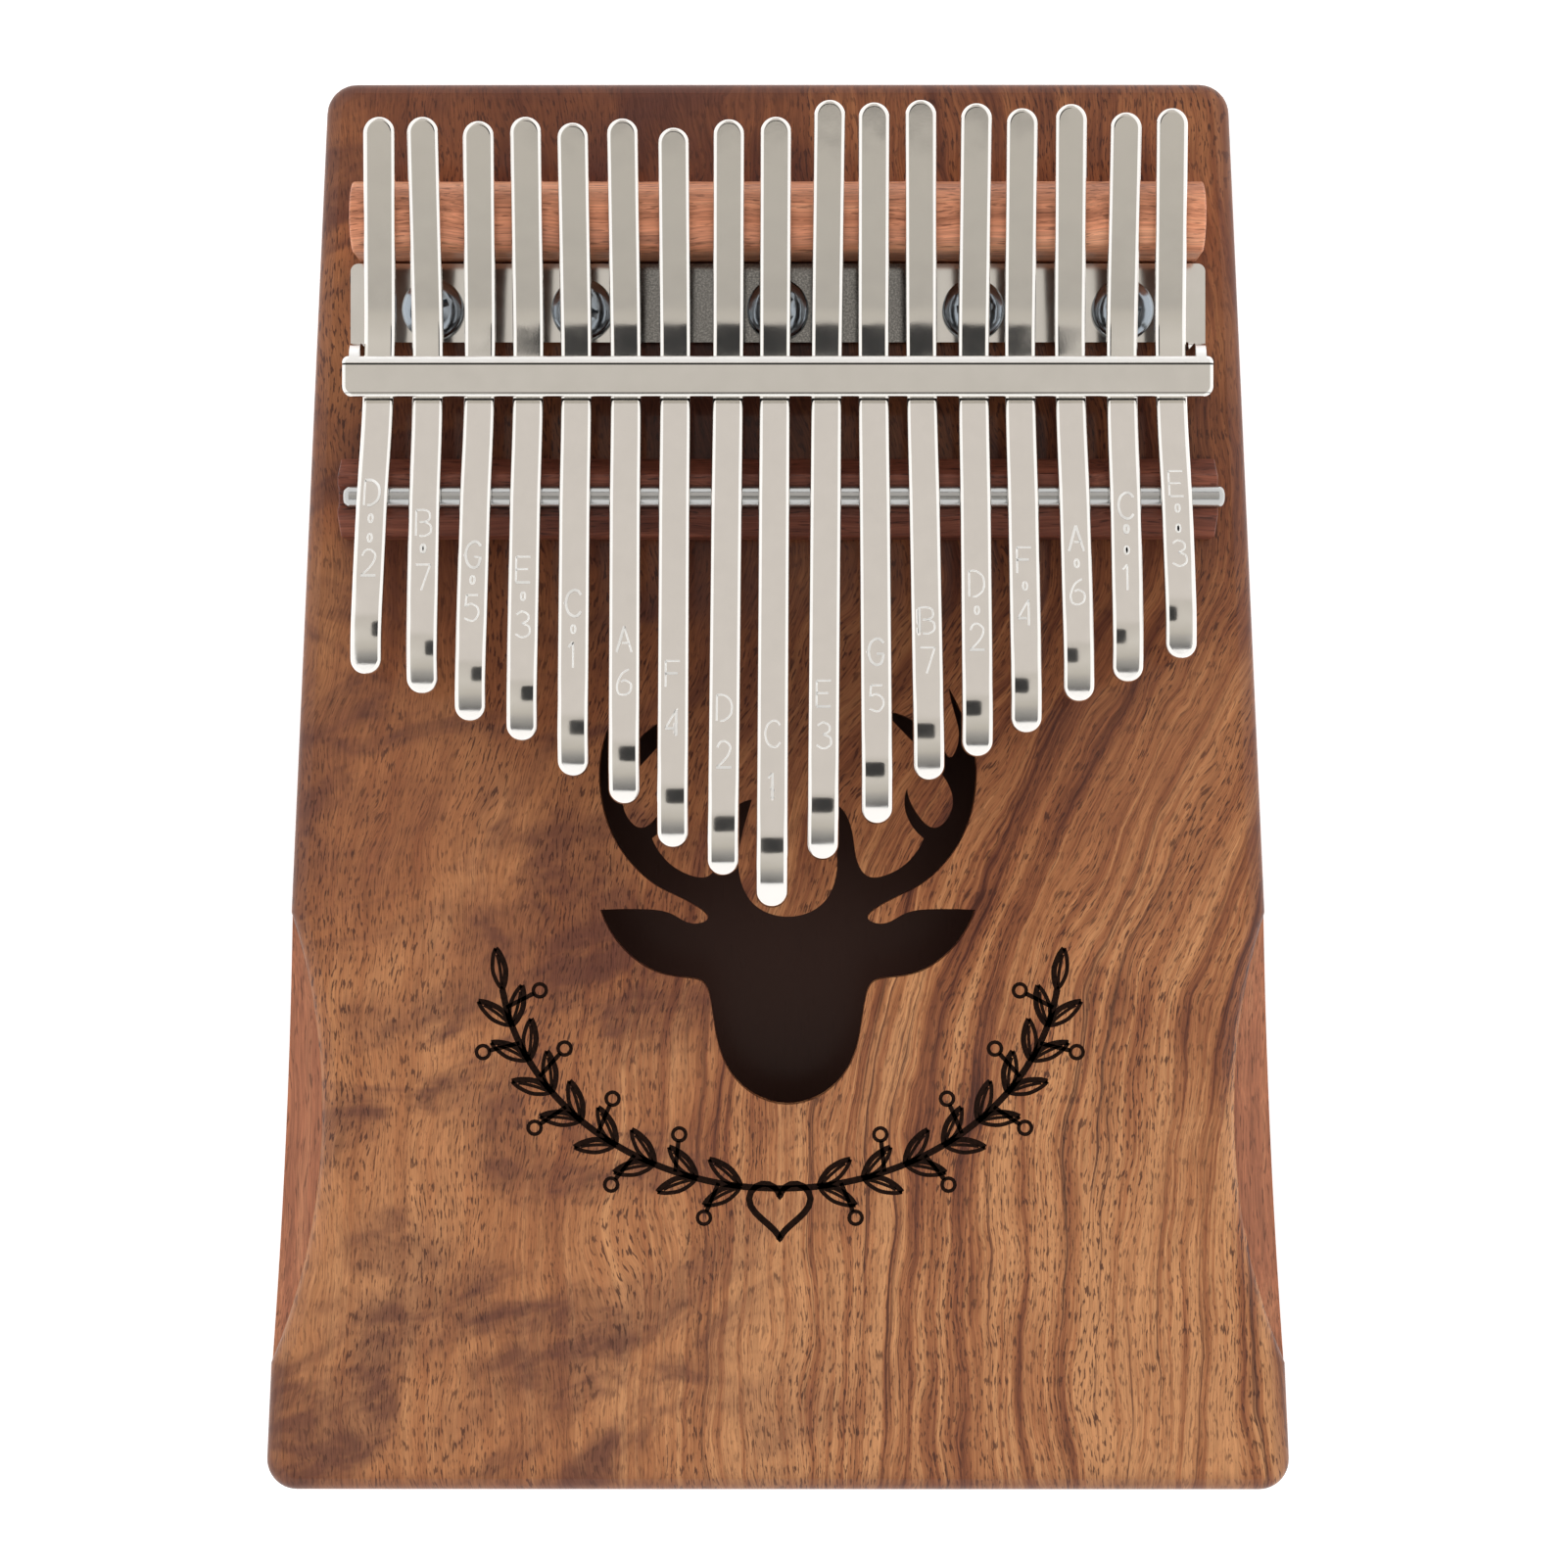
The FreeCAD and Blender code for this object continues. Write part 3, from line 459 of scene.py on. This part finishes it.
# ---------------------------------------------------------------------- tines
def tine_knots(rear, tip, drop):
    """Corner points of a tine's underside as (along, height, bend radius)."""
    climb = (SADDLE_CLEAR_HEIGHT - DIP_HEIGHT) / (SADDLE_LINE - DIP_LINE)
    bend = tip + TIP_RUN
    bend_height = CREST_HEIGHT + (ROD_LINE - bend) * RISE
    return [(tip, bend_height - drop, 0.0), (bend, bend_height, TIP_RADIUS),
            (ROD_LINE, CREST_HEIGHT, CREST_RADIUS), (DIP_LINE, DIP_HEIGHT, DIP_RADIUS),
            (rear, DIP_HEIGHT + climb * (rear - DIP_LINE), 0.0)]


def height_at(knots, along):
    """Height of the bent line at a place: straight runs joined by gentle bends."""
    for before, knot, after in zip(knots, knots[1:], knots[2:]):
        slope_in = (knot[1] - before[1]) / (knot[0] - before[0])
        slope_out = (after[1] - knot[1]) / (after[0] - knot[0])
        turn = abs(math.atan(slope_out) - math.atan(slope_in))
        reach = knot[2] * math.tan(turn / 2) * math.cos(math.atan((slope_in + slope_out) / 2))
        if abs(along - knot[0]) < reach:
            step = (along - knot[0] + reach) / (2 * reach)
            start = knot[1] - slope_in * reach
            return start + 2 * reach * (slope_in * step
                                        + (slope_out - slope_in) * step * step / 2)
    for here, there in zip(knots, knots[1:]):
        if along <= there[0]:
            break
    share = (along - here[0]) / (there[0] - here[0])
    return here[1] + (there[1] - here[1]) * share


def tine_stations(rear, tip):
    """Steps from tip to rear: ("tip" or "rear", angle) or ("run", place along)."""
    turns = [math.pi / 2 * step / ARC_STEPS for step in range(ARC_STEPS)]
    start, stop = tip + END_ROUNDING, rear - END_ROUNDING
    count = int((stop - start) / RUN_STEP)
    run = [start + (stop - start) * step / count for step in range(count + 1)]
    return ([("tip", turn) for turn in turns] + [("run", place) for place in run]
            + [("rear", turn) for turn in reversed(turns)])


def station_spot(station, inset, rear, tip):
    """Half width and place along the tine of a station, inset from the rim."""
    kind, value = station
    flat_end = TINE_WIDTH / 2 - END_ROUNDING
    radius = END_ROUNDING - inset
    if kind == "run":
        return flat_end + radius, value
    half = flat_end + radius * math.sin(value)
    if kind == "tip":
        return half, tip + END_ROUNDING - radius * math.cos(value)
    return half, rear - END_ROUNDING + radius * math.cos(value)


def tine_rings():
    """The section of a tine's edge from underside to top: (inset, height share)."""
    chamfer, rim_height, steps = 0.12, RIM * 0.9, 7
    rings = [(RIM + 0.1, 0.0), (chamfer, 0.0), (0.0, chamfer)]
    for step in range(steps + 1):
        angle = math.pi / 2 * step / steps
        rings.append((RIM * (1 - math.cos(angle)),
                      TINE_THICKNESS - rim_height * (1 - math.sin(angle))))
    rings.append((RIM + 0.04, TINE_THICKNESS))
    return rings


def crown_fall(sideways, from_tip):
    """How far the crowned tip falls away at a place to the side of its middle."""
    share = min(max((CROWN_REACH - from_tip) / CROWN_FADE, 0.0), 1.0)
    share = share * share * (3 - 2 * share)
    return share * sideways * sideways / (2 * TIP_CROWN)


def tine_mesh(name, rear, tip, drop):
    """A bent strip with rounded ends, a rounded upper rim and a crowned tip."""
    knots = tine_knots(rear, tip, drop)
    stations = tine_stations(rear, tip)
    rings = tine_rings()
    points, faces = [], []
    loop = len(stations) * 2
    for inset, lift in rings:
        right, left = [], []
        for station in stations:
            half, along = station_spot(station, inset, rear, tip)
            height = BOARD_TOP + height_at(knots, along) + lift
            height -= crown_fall(half, along - tip)
            right.append((half, along, height))
            left.append((-half, along, height))
        points += right + left[::-1]
    for ring in range(len(rings) - 1):
        low, high = ring * loop, (ring + 1) * loop
        for spot in range(loop):
            after = (spot + 1) % loop
            faces.append((low + spot, low + after, high + after, high + spot))
    count = len(stations)
    for spot in range(count - 1):
        faces.append((spot, spot + 1, loop - 2 - spot, loop - 1 - spot))
    top = (len(rings) - 1) * loop
    columns = [[top + spot for spot in range(count)]]
    for share in TOP_COLUMNS:
        column = []
        for station in stations:
            half, along = station_spot(station, rings[-1][0], rear, tip)
            height = BOARD_TOP + height_at(knots, along) + rings[-1][1]
            column.append(len(points))
            points.append((half * share, along,
                           height - crown_fall(half * share, along - tip)))
        columns.append(column)
    columns.append([top + loop - 1 - spot for spot in range(count)])
    for near, far in zip(columns, columns[1:]):
        for spot in range(count - 1):
            faces.append((near[spot], near[spot + 1], far[spot + 1], far[spot]))
    return mesh_from(name, points, faces)


# Strokes of plain single-line characters in a cell 1 wide and 1 high.  Strokes of
# four points or more are drawn as smooth curves.
GLYPHS = {
    "A": [[(0, 0), (0.5, 1)], [(0.5, 1), (1, 0)], [(0.36, 0.36), (0.8, 0.36)]],
    "B": [[(0, 0), (0, 1)], [(0, 1), (0.55, 1), (0.88, 0.9), (0.88, 0.64), (0.5, 0.54),
                             (0.22, 0.54)],
          [(0.5, 0.54), (0.95, 0.42), (0.98, 0.14), (0.6, 0), (0.22, 0)]],
    "C": [[(1, 0.82), (0.8, 0.97), (0.5, 1), (0.15, 0.84), (0, 0.5), (0.15, 0.16),
           (0.5, 0), (0.8, 0.03), (1, 0.18)]],
    "D": [[(0, 0), (0, 1)], [(0, 1), (0.5, 0.98), (0.9, 0.78), (1, 0.5), (0.9, 0.22),
                             (0.5, 0.02), (0.22, 0)]],
    "E": [[(0, 0), (0, 1)], [(0, 1), (0.95, 1)], [(0, 0.52), (0.8, 0.52)],
          [(0, 0), (0.95, 0)]],
    "F": [[(0, 0), (0, 1)], [(0, 1), (0.95, 1)], [(0, 0.52), (0.8, 0.52)]],
    "G": [[(1, 0.84), (0.8, 0.97), (0.5, 1), (0.15, 0.84), (0, 0.5), (0.15, 0.16),
           (0.5, 0), (0.85, 0.08), (1, 0.42)], [(1, 0.42), (0.55, 0.42)]],
    "1": [[(0.5, 0), (0.5, 1)], [(0.5, 1), (0.2, 0.8)]],
    "2": [[(0.05, 0.76), (0.25, 0.97), (0.6, 1), (0.92, 0.8), (0.8, 0.5), (0.4, 0.2),
           (0, 0)], [(0, 0), (1, 0)]],
    "3": [[(0.08, 0.88), (0.45, 1), (0.85, 0.88), (0.85, 0.66), (0.45, 0.54)],
          [(0.45, 0.54), (0.92, 0.42), (0.95, 0.14), (0.5, 0), (0.03, 0.13)]],
    "4": [[(0.72, 0), (0.72, 1)], [(0.72, 1), (0, 0.28)], [(0, 0.28), (0.58, 0.28)]],
    "5": [[(0.9, 1), (0.15, 1)], [(0.15, 1), (0.08, 0.56)],
          [(0.08, 0.56), (0.45, 0.66), (0.88, 0.52), (0.95, 0.24), (0.6, 0.0),
           (0.03, 0.1)]],
    "6": [[(0.82, 0.98), (0.35, 0.8), (0.05, 0.4), (0.12, 0.08), (0.5, 0), (0.9, 0.12),
           (0.95, 0.42), (0.55, 0.56), (0.3, 0.5)]],
    "7": [[(0.02, 1), (1, 1)], [(1, 1), (0.42, 0)]],
    "dot": [[(0.36, 0.5), (0.42, 0.63), (0.58, 0.63), (0.64, 0.5), (0.58, 0.37),
             (0.42, 0.37), (0.36, 0.5)]],
}
GLYPH_WIDTH, GLYPH_HEIGHT = 1.9, 3.3
# section of a struck line, as (sideways, up) from the tine's top
GROOVE = [(-0.17, 0.06), (-0.12, 0.0), (-0.06, -0.045), (0.06, -0.045), (0.12, 0.0),
          (0.17, 0.06)]


def smooth_line(points, steps=5):
    """Points on a smooth curve through a given line of points; a line of two or
    three points stays straight between them."""
    if len(points) < 4:
        line = [tuple(a + (b - a) * step / steps for a, b in zip(start, end))
                for start, end in zip(points, points[1:]) for step in range(steps)]
        return line + [tuple(points[-1])]
    closed = points[0] == points[-1]
    ends = (points[-2], points[1]) if closed else (points[0], points[-1])
    guide = [ends[0]] + list(points) + [ends[1]]
    line = []
    for a, b, c, d in zip(guide, guide[1:], guide[2:], guide[3:]):
        for step in range(steps):
            t = step / steps
            line.append(tuple(0.5 * (2 * q + (r - p) * t + (2 * p - 5 * q + 4 * r - w) * t * t
                                     + (3 * q - p - 3 * r + w) * t ** 3)
                              for p, q, r, w in zip(a, b, c, d)))
    line.append(tuple(points[-1]))
    return line


def side_steps(line):
    """The unit sideways direction at each point of a flat line."""
    closed = line[0] == line[-1]
    sides = []
    for index in range(len(line)):
        before = line[index - 1] if index else (line[-2] if closed else line[0])
        after = line[index + 1] if index + 1 < len(line) else (line[1] if closed else line[-1])
        run_x, run_y = after[0] - before[0], after[1] - before[1]
        length = math.hypot(run_x, run_y) or 1.0
        sides.append((-run_y / length, run_x / length))
    return sides


def ribbon(points, faces, line, section, lift):
    """Add a closed strip along a flat line; section is (sideways, up) pairs and
    lift(x, y) gives the height that the section stands on."""
    sides = side_steps(line)
    closed = line[0] == line[-1]
    count = len(line) - 1 if closed else len(line)
    first, ring = len(points), len(section)
    for (x, y), (side_x, side_y) in list(zip(line, sides))[:count]:
        for sideways, up in section:
            points.append((x + side_x * sideways, y + side_y * sideways, lift(x, y) + up))
    for step in range(count if closed else count - 1):
        low, high = first + step * ring, first + (step + 1) % count * ring
        for spot in range(ring):
            after = (spot + 1) % ring
            faces.append((low + spot, low + after, high + after, high + spot))
    if not closed:
        faces.append(tuple(first + spot for spot in range(ring)))
        faces.append(tuple(first + (count - 1) * ring + spot for spot in range(ring)))


def mark_cutter(name, knots, marks):
    """The shape that is struck out of a tine's top to leave its note marks."""
    points, faces = [], []

    def top(x, y):
        return BOARD_TOP + height_at(knots, y) + TINE_THICKNESS

    for glyph, along in marks:
        for stroke in GLYPHS[glyph]:
            cell = [((x - 0.5) * GLYPH_WIDTH, along + (y - 0.5) * GLYPH_HEIGHT)
                    for x, y in stroke]
            ribbon(points, faces, smooth_line(cell), GROOVE, top)
    mesh = mesh_from(name, points, faces)
    mesh.polygons.foreach_set("material_index", [1] * len(mesh.polygons))
    return mesh


def strike_marks(mesh, cutter_mesh):
    """Cut the note marks out of a tine's mesh."""
    blank = bpy.data.objects.new("blank", mesh)
    cutter = bpy.data.objects.new("cutter", cutter_mesh)
    for item in (blank, cutter):
        bpy.context.scene.collection.objects.link(item)
    cut = blank.modifiers.new("marks", "BOOLEAN")
    cut.operation = "DIFFERENCE"
    cut.object = cutter
    cut.solver = "EXACT"
    cut.use_self = True
    struck = evaluated_mesh(blank)
    for item in (blank, cutter):
        bpy.data.objects.remove(item)
    return struck


def make_tines(polished, struck):
    """Stand a detailed strip with its note marks in for each CAD tine."""
    for name, across, lean, rear, tip, drop, marks in TINES:
        knots = tine_knots(rear, tip, drop)
        blank = tine_mesh(name + "_blank", rear, tip, drop)
        cutter = mark_cutter(name + "_cutter", knots, marks)
        for mesh in (blank, cutter):
            mesh.materials.append(polished)
            mesh.materials.append(struck)
        mesh = strike_marks(blank, cutter)
        mesh.name = name + "_strip"
        turn = math.tan(math.radians(lean))
        for vert in mesh.vertices:
            vert.co.x += across * MM + (vert.co.y - DIP_LINE * MM) * turn
        shade_by_angle(mesh, 28)
        piece = new_piece(name + "_strip", mesh, [], name)
        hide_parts(name)


# --------------------------------------------------------------------- wreath
# A plain laurel wreath: two mirrored branches on half an ellipse, with leaf pairs
# and berries at even steps, and a heart curve under it.  Turns are radians along
# the ellipse from its lowest point.
WREATH_MIDDLE, WREATH_CENTRE = 0.25, -22.5
WREATH_REACH, WREATH_DEPTH = 36.5, 30.0
LEAF_PAIRS, FIRST_TURN, TURN_STEP = 8, 0.14, 0.162
LEAF_LENGTH, LEAF_SHARE, LEAF_SPREAD = 5.4, 0.31, math.radians(34)
BERRY_RADIUS, BERRY_STALK, BERRY_SPREAD = 0.85, 4.9, math.radians(78)
STEM_WIDTH, LEAF_WIDTHS, STALK_WIDTH, RIM_WIDTH = 0.85, (0.72, 0.52, 0.42), 0.58, 0.48
HEART_TOP, HEART_SCALE = -53.6, 0.25


def line_section(width):
    """A low raised line; the scorch spreads a little wider than its stroke."""
    half, base, top = width * 0.56, -0.02, 0.025
    return [(-half, base), (half, base), (half * 0.8, top), (-half * 0.8, top)]


def leaf_lines(base, tip, share):
    """The two sides and the rib of a pointed leaf."""
    run_x, run_y = tip[0] - base[0], tip[1] - base[1]
    side_x, side_y = -run_y * share / 2, run_x * share / 2

    def spot(along, sideways):
        return (base[0] + run_x * along + side_x * sideways,
                base[1] + run_y * along + side_y * sideways)

    outline = []
    for hand in (1, -1):
        outline.append([spot(0, 0), spot(0.18, 0.62 * hand), spot(0.48, hand),
                        spot(0.8, 0.62 * hand), spot(1, 0)])
    rib = [spot(0.1, 0), spot(0.4, 0.16), spot(0.7, 0.14), spot(0.84, 0.02)]
    return outline, rib


def circle_line(centre, radius):
    """A closed round line."""
    line = []
    for step in range(17):
        angle = math.tau * (step % 16) / 16
        line.append((centre[0] + radius * math.cos(angle),
                     centre[1] + radius * math.sin(angle)))
    return line


def stem_place(turn):
    """A place on the right branch, and the heading in which it grows there."""
    across, along = math.sin(turn), math.cos(turn)
    heading = math.atan2(WREATH_DEPTH * across, WREATH_REACH * along)
    return (WREATH_REACH * across, WREATH_CENTRE - WREATH_DEPTH * along), heading


def away(spot, heading, length):
    """The place that lies a length away from a spot."""
    return (spot[0] + length * math.cos(heading), spot[1] + length * math.sin(heading))


def leaf_strokes(base, heading):
    """A leaf's two sides and rib, from a heavier to a lighter line."""
    outline, rib = leaf_lines(base, away(base, heading, LEAF_LENGTH), LEAF_SHARE)
    return [(smooth_line(line), width) for line, width in zip(outline + [rib], LEAF_WIDTHS)]


def berry_strokes(base, heading):
    """A berry on its stalk."""
    rim = away(base, heading, BERRY_STALK - BERRY_RADIUS)
    centre = away(base, heading, BERRY_STALK)
    return [(smooth_line([base, rim]), STALK_WIDTH),
            (circle_line(centre, BERRY_RADIUS), RIM_WIDTH)]


def heart_line():
    """The common heart curve, closed at its notch."""
    line = []
    for step in range(33):
        turn = math.tau * (step % 32) / 32
        rise = (13 * math.cos(turn) - 5 * math.cos(2 * turn) - 2 * math.cos(3 * turn)
                - math.cos(4 * turn) - 5)
        line.append((HEART_SCALE * 16 * math.sin(turn) ** 3, HEART_TOP + HEART_SCALE * rise))
    return line


def branch_strokes():
    """Every stroke of the right branch as (line, width)."""
    last_turn = FIRST_TURN + LEAF_PAIRS * TURN_STEP
    stem = [stem_place(last_turn * step / 12)[0] for step in range(13)]
    strokes = [(smooth_line(stem), STEM_WIDTH)]
    for pair in range(LEAF_PAIRS):
        spot, heading = stem_place(FIRST_TURN + pair * TURN_STEP)
        for side in (1, -1):
            strokes += leaf_strokes(spot, heading + side * LEAF_SPREAD)
        spot, heading = stem_place(FIRST_TURN + (pair + 0.5) * TURN_STEP)
        side = 1 if pair % 2 else -1
        strokes += berry_strokes(spot, heading + side * BERRY_SPREAD)
    return strokes + leaf_strokes(*stem_place(last_turn))


def make_wreath(material):
    """Scorch the wreath and its heart into the soundboard."""
    points, faces = [], []

    def board_height(x, y):
        return BOARD_TOP

    for hand in (1, -1):
        for line, width in branch_strokes():
            placed = [(WREATH_MIDDLE + x * hand, y) for x, y in line]
            ribbon(points, faces, placed, line_section(width), board_height)
    heart = [(WREATH_MIDDLE + x, y) for x, y in heart_line()]
    ribbon(points, faces, heart, line_section(STEM_WIDTH), board_height)
    mesh = mesh_from("scorched_wreath", points, faces)
    new_piece("scorched_wreath", mesh, [material], BOX_BODY)


# ---------------------------------------------------------------------- stage
LENS_PLACE, LENS_AIM = (1.4, -3.6, 445), (0.8, 0.2, 25)


def sky_light():
    """The white tent round the object, with the darker gap that it is seen from.
    The gap's edges are sideways and forward slopes from straight up."""
    world = bpy.data.worlds.new("tent")
    bpy.context.scene.world = world
    world.use_nodes = True
    s = Shader(world.node_tree)
    direction = s.add("TexCoord").outputs["Generated"]
    parts = s.add("SeparateXYZ", None, {"Vector": direction})
    up = s.math("MAXIMUM", parts.outputs[2], 0.001)
    sideways = s.math("DIVIDE", parts.outputs[0], up)
    forward = s.math("DIVIDE", parts.outputs[1], up)
    place = s.math("MULTIPLY_ADD", forward, 0.4, 0.5, clamp=True)
    gap = s.ramp(place, [
        (0.0, (0.12, 0.12, 0.12)), (0.225, (0.13, 0.13, 0.13)), (0.30, (0.36, 0.35, 0.33)),
        (0.355, (0.55, 0.52, 0.47)), (0.44, (0.66, 0.63, 0.58)),
        (0.553, (0.60, 0.565, 0.52)), (0.59, (0.69, 0.65, 0.61)),
        (0.862, (0.69, 0.65, 0.61)), (0.868, (0.02, 0.02, 0.02)), (1.0, (0.02, 0.02, 0.02))])
    half_width, front, rear = 0.31, -0.70, 1.15
    inside = s.math("LESS_THAN", s.math("ABSOLUTE", sideways), half_width)
    before_rear = s.math("LESS_THAN", forward, rear)
    behind_front = s.math("GREATER_THAN", forward, front)
    share = s.math("MULTIPLY", s.math("MULTIPLY", inside, before_rear), behind_front)
    colour = s.mix(share, (1.15, 1.15, 1.15), gap)
    light = s.add("Background", None, {"Color": colour, "Strength": 1.0})
    output = s.add("OutputWorld")
    s.feed(output.inputs["Surface"], light.outputs[0])


def make_floor():
    """A plain pale floor, just under the box."""
    reach, height = 2000, -0.1
    corners = [(-reach, -reach, height), (reach, -reach, height), (reach, reach, height),
               (-reach, reach, height)]
    mesh = mesh_from("floor", corners, [(0, 1, 2, 3)])
    floor = bpy.data.objects.new("floor", mesh)
    bpy.context.scene.collection.objects.link(floor)
    material, s = new_material("pale_floor")
    finish_surface(s, {"Base Color": (0.8, 0.8, 0.8, 1), "Roughness": 0.9,
                       "Specular IOR Level": 0.1, "Emission Color": (1, 1, 1, 1),
                       "Emission Strength": 0.55})
    mesh.materials.append(material)


def make_camera_shade():
    """A black slab behind the lens, which only the metal's reflections see.  Its
    outline is a rectangle with rounded corners."""
    half_x, half_y, low, high = 72, 52, 450, 480
    count, squareness = 32, 8
    points = []
    for z in (low, high):
        for step in range(count):
            angle = math.tau * step / count
            across, along = math.cos(angle), math.sin(angle)
            bulge = (abs(across) ** squareness + abs(along) ** squareness) ** (-1 / squareness)
            points.append((LENS_PLACE[0] + half_x * bulge * across,
                           LENS_PLACE[1] + half_y * bulge * along, z))
    faces = [tuple(range(count)), tuple(range(count, 2 * count))]
    for step in range(count):
        after = (step + 1) % count
        faces.append((step, after, count + after, count + step))
    mesh = mesh_from("camera_shade", points, faces)
    shade = bpy.data.objects.new("camera_shade", mesh)
    bpy.context.scene.collection.objects.link(shade)
    material, s = new_material("matt_black")
    finish_surface(s, {"Base Color": (0.01, 0.01, 0.01, 1), "Roughness": 0.8})
    mesh.materials.append(material)
    for sense in ("camera", "diffuse", "transmission", "volume_scatter", "shadow"):
        setattr(shade, "visible_" + sense, False)


def make_camera():
    """Look straight down on the soundboard, as the photograph does."""
    data = bpy.data.cameras.new("camera")
    data.sensor_width, data.lens = 36, 73.95
    data.clip_start, data.clip_end = 0.01, 20
    camera = bpy.data.objects.new("camera", data)
    place, aim = Vector(LENS_PLACE), Vector(LENS_AIM)
    back = (place - aim).normalized()
    right = Vector((0, 1, 0)).cross(back).normalized()
    above = back.cross(right)
    turn = Matrix((right, above, back)).transposed().to_4x4()
    camera.matrix_world = Matrix.Translation(place * MM) @ turn
    bpy.context.scene.collection.objects.link(camera)
    bpy.context.scene.camera = camera


# ------------------------------------------------------------------ whole scene
def dress_box():
    """Give the sound box's own parts their woods, each with the grain lengthways."""
    wall_tones = [(0.17, 0.054, 0.028), (0.38, 0.135, 0.064), (0.50, 0.215, 0.105)]
    back_tones = [(0.16, 0.06, 0.035), (0.33, 0.14, 0.07), (0.45, 0.21, 0.11)]
    block_tones = [(0.42, 0.24, 0.12), (0.55, 0.35, 0.19), (0.62, 0.42, 0.25)]
    side = plain_wood("side_wood", wall_tones, "Y")
    end = plain_wood("end_wall_wood", wall_tones, "X")
    # the back board's inner face gets painted shade, for the dark inside of the box
    back = plain_wood("back_wood", back_tones, "Y", inside_shade=(2.9, (0.075, 0.030, 0.020)))
    woods = {"soundboard": top_wood(), "back_board": back,
             "left_side_wall": side, "right_side_wall": side,
             "rear_end_wall": end, "front_end_wall": end,
             "screw_block": plain_wood("block_wood", block_tones, "X")}
    for node, wood in woods.items():
        NODES[node].data.materials.clear()
        NODES[node].data.materials.append(wood)


def dress_hardware():
    """Stand rounded, finished copies in for the clamp's CAD parts."""
    saddle = plain_wood("saddle_wood", [(0.33, 0.115, 0.058), (0.70, 0.285, 0.155),
                                        (0.90, 0.46, 0.27)], "X")
    bridge = plain_wood("bridge_wood", [(0.070, 0.018, 0.011), (0.185, 0.052, 0.029),
                                        (0.34, 0.112, 0.064)], "X", pore_share=0.7)
    # the nickel carries the bracket's painted reflections and painted highlight
    nickel = plated_metal("satin_nickel", (0.88, 0.86, 0.82, 1.0), 0.12, reflection_paint=bracket_painted_reflections)
    zinc = plated_metal("dark_zinc", (0.35, 0.39, 0.43, 1.0), 0.17, cloud=0.10, wave=0.08,
                        wave_size=0.5)
    steel = plated_metal("bare_steel", (0.52, 0.52, 0.51, 1.0), 0.22)
    rounded_copy("rear_saddle", saddle, 0.35)
    rounded_copy("front_bridge", bridge, 0.25)
    rounded_copy("tine_bracket", nickel, 0.0)
    rounded_copy("bracket_screws", zinc, 0.10)
    rounded_copy("bridge_rod", steel, 0.10)


bpy.context.scene.view_settings.view_transform = "Standard"
make_camera()
sky_light()
make_floor()
make_camera_shade()
dress_box()
dress_hardware()
make_tines(plated_metal("tine_steel", (0.90, 0.87, 0.83, 1.0), 0.07, wave_size=0.10),
           plated_metal("struck_steel", (0.95, 0.94, 0.91, 1.0), 0.42, cloud=0.05, wave=0.0))
make_wreath(burned_line())
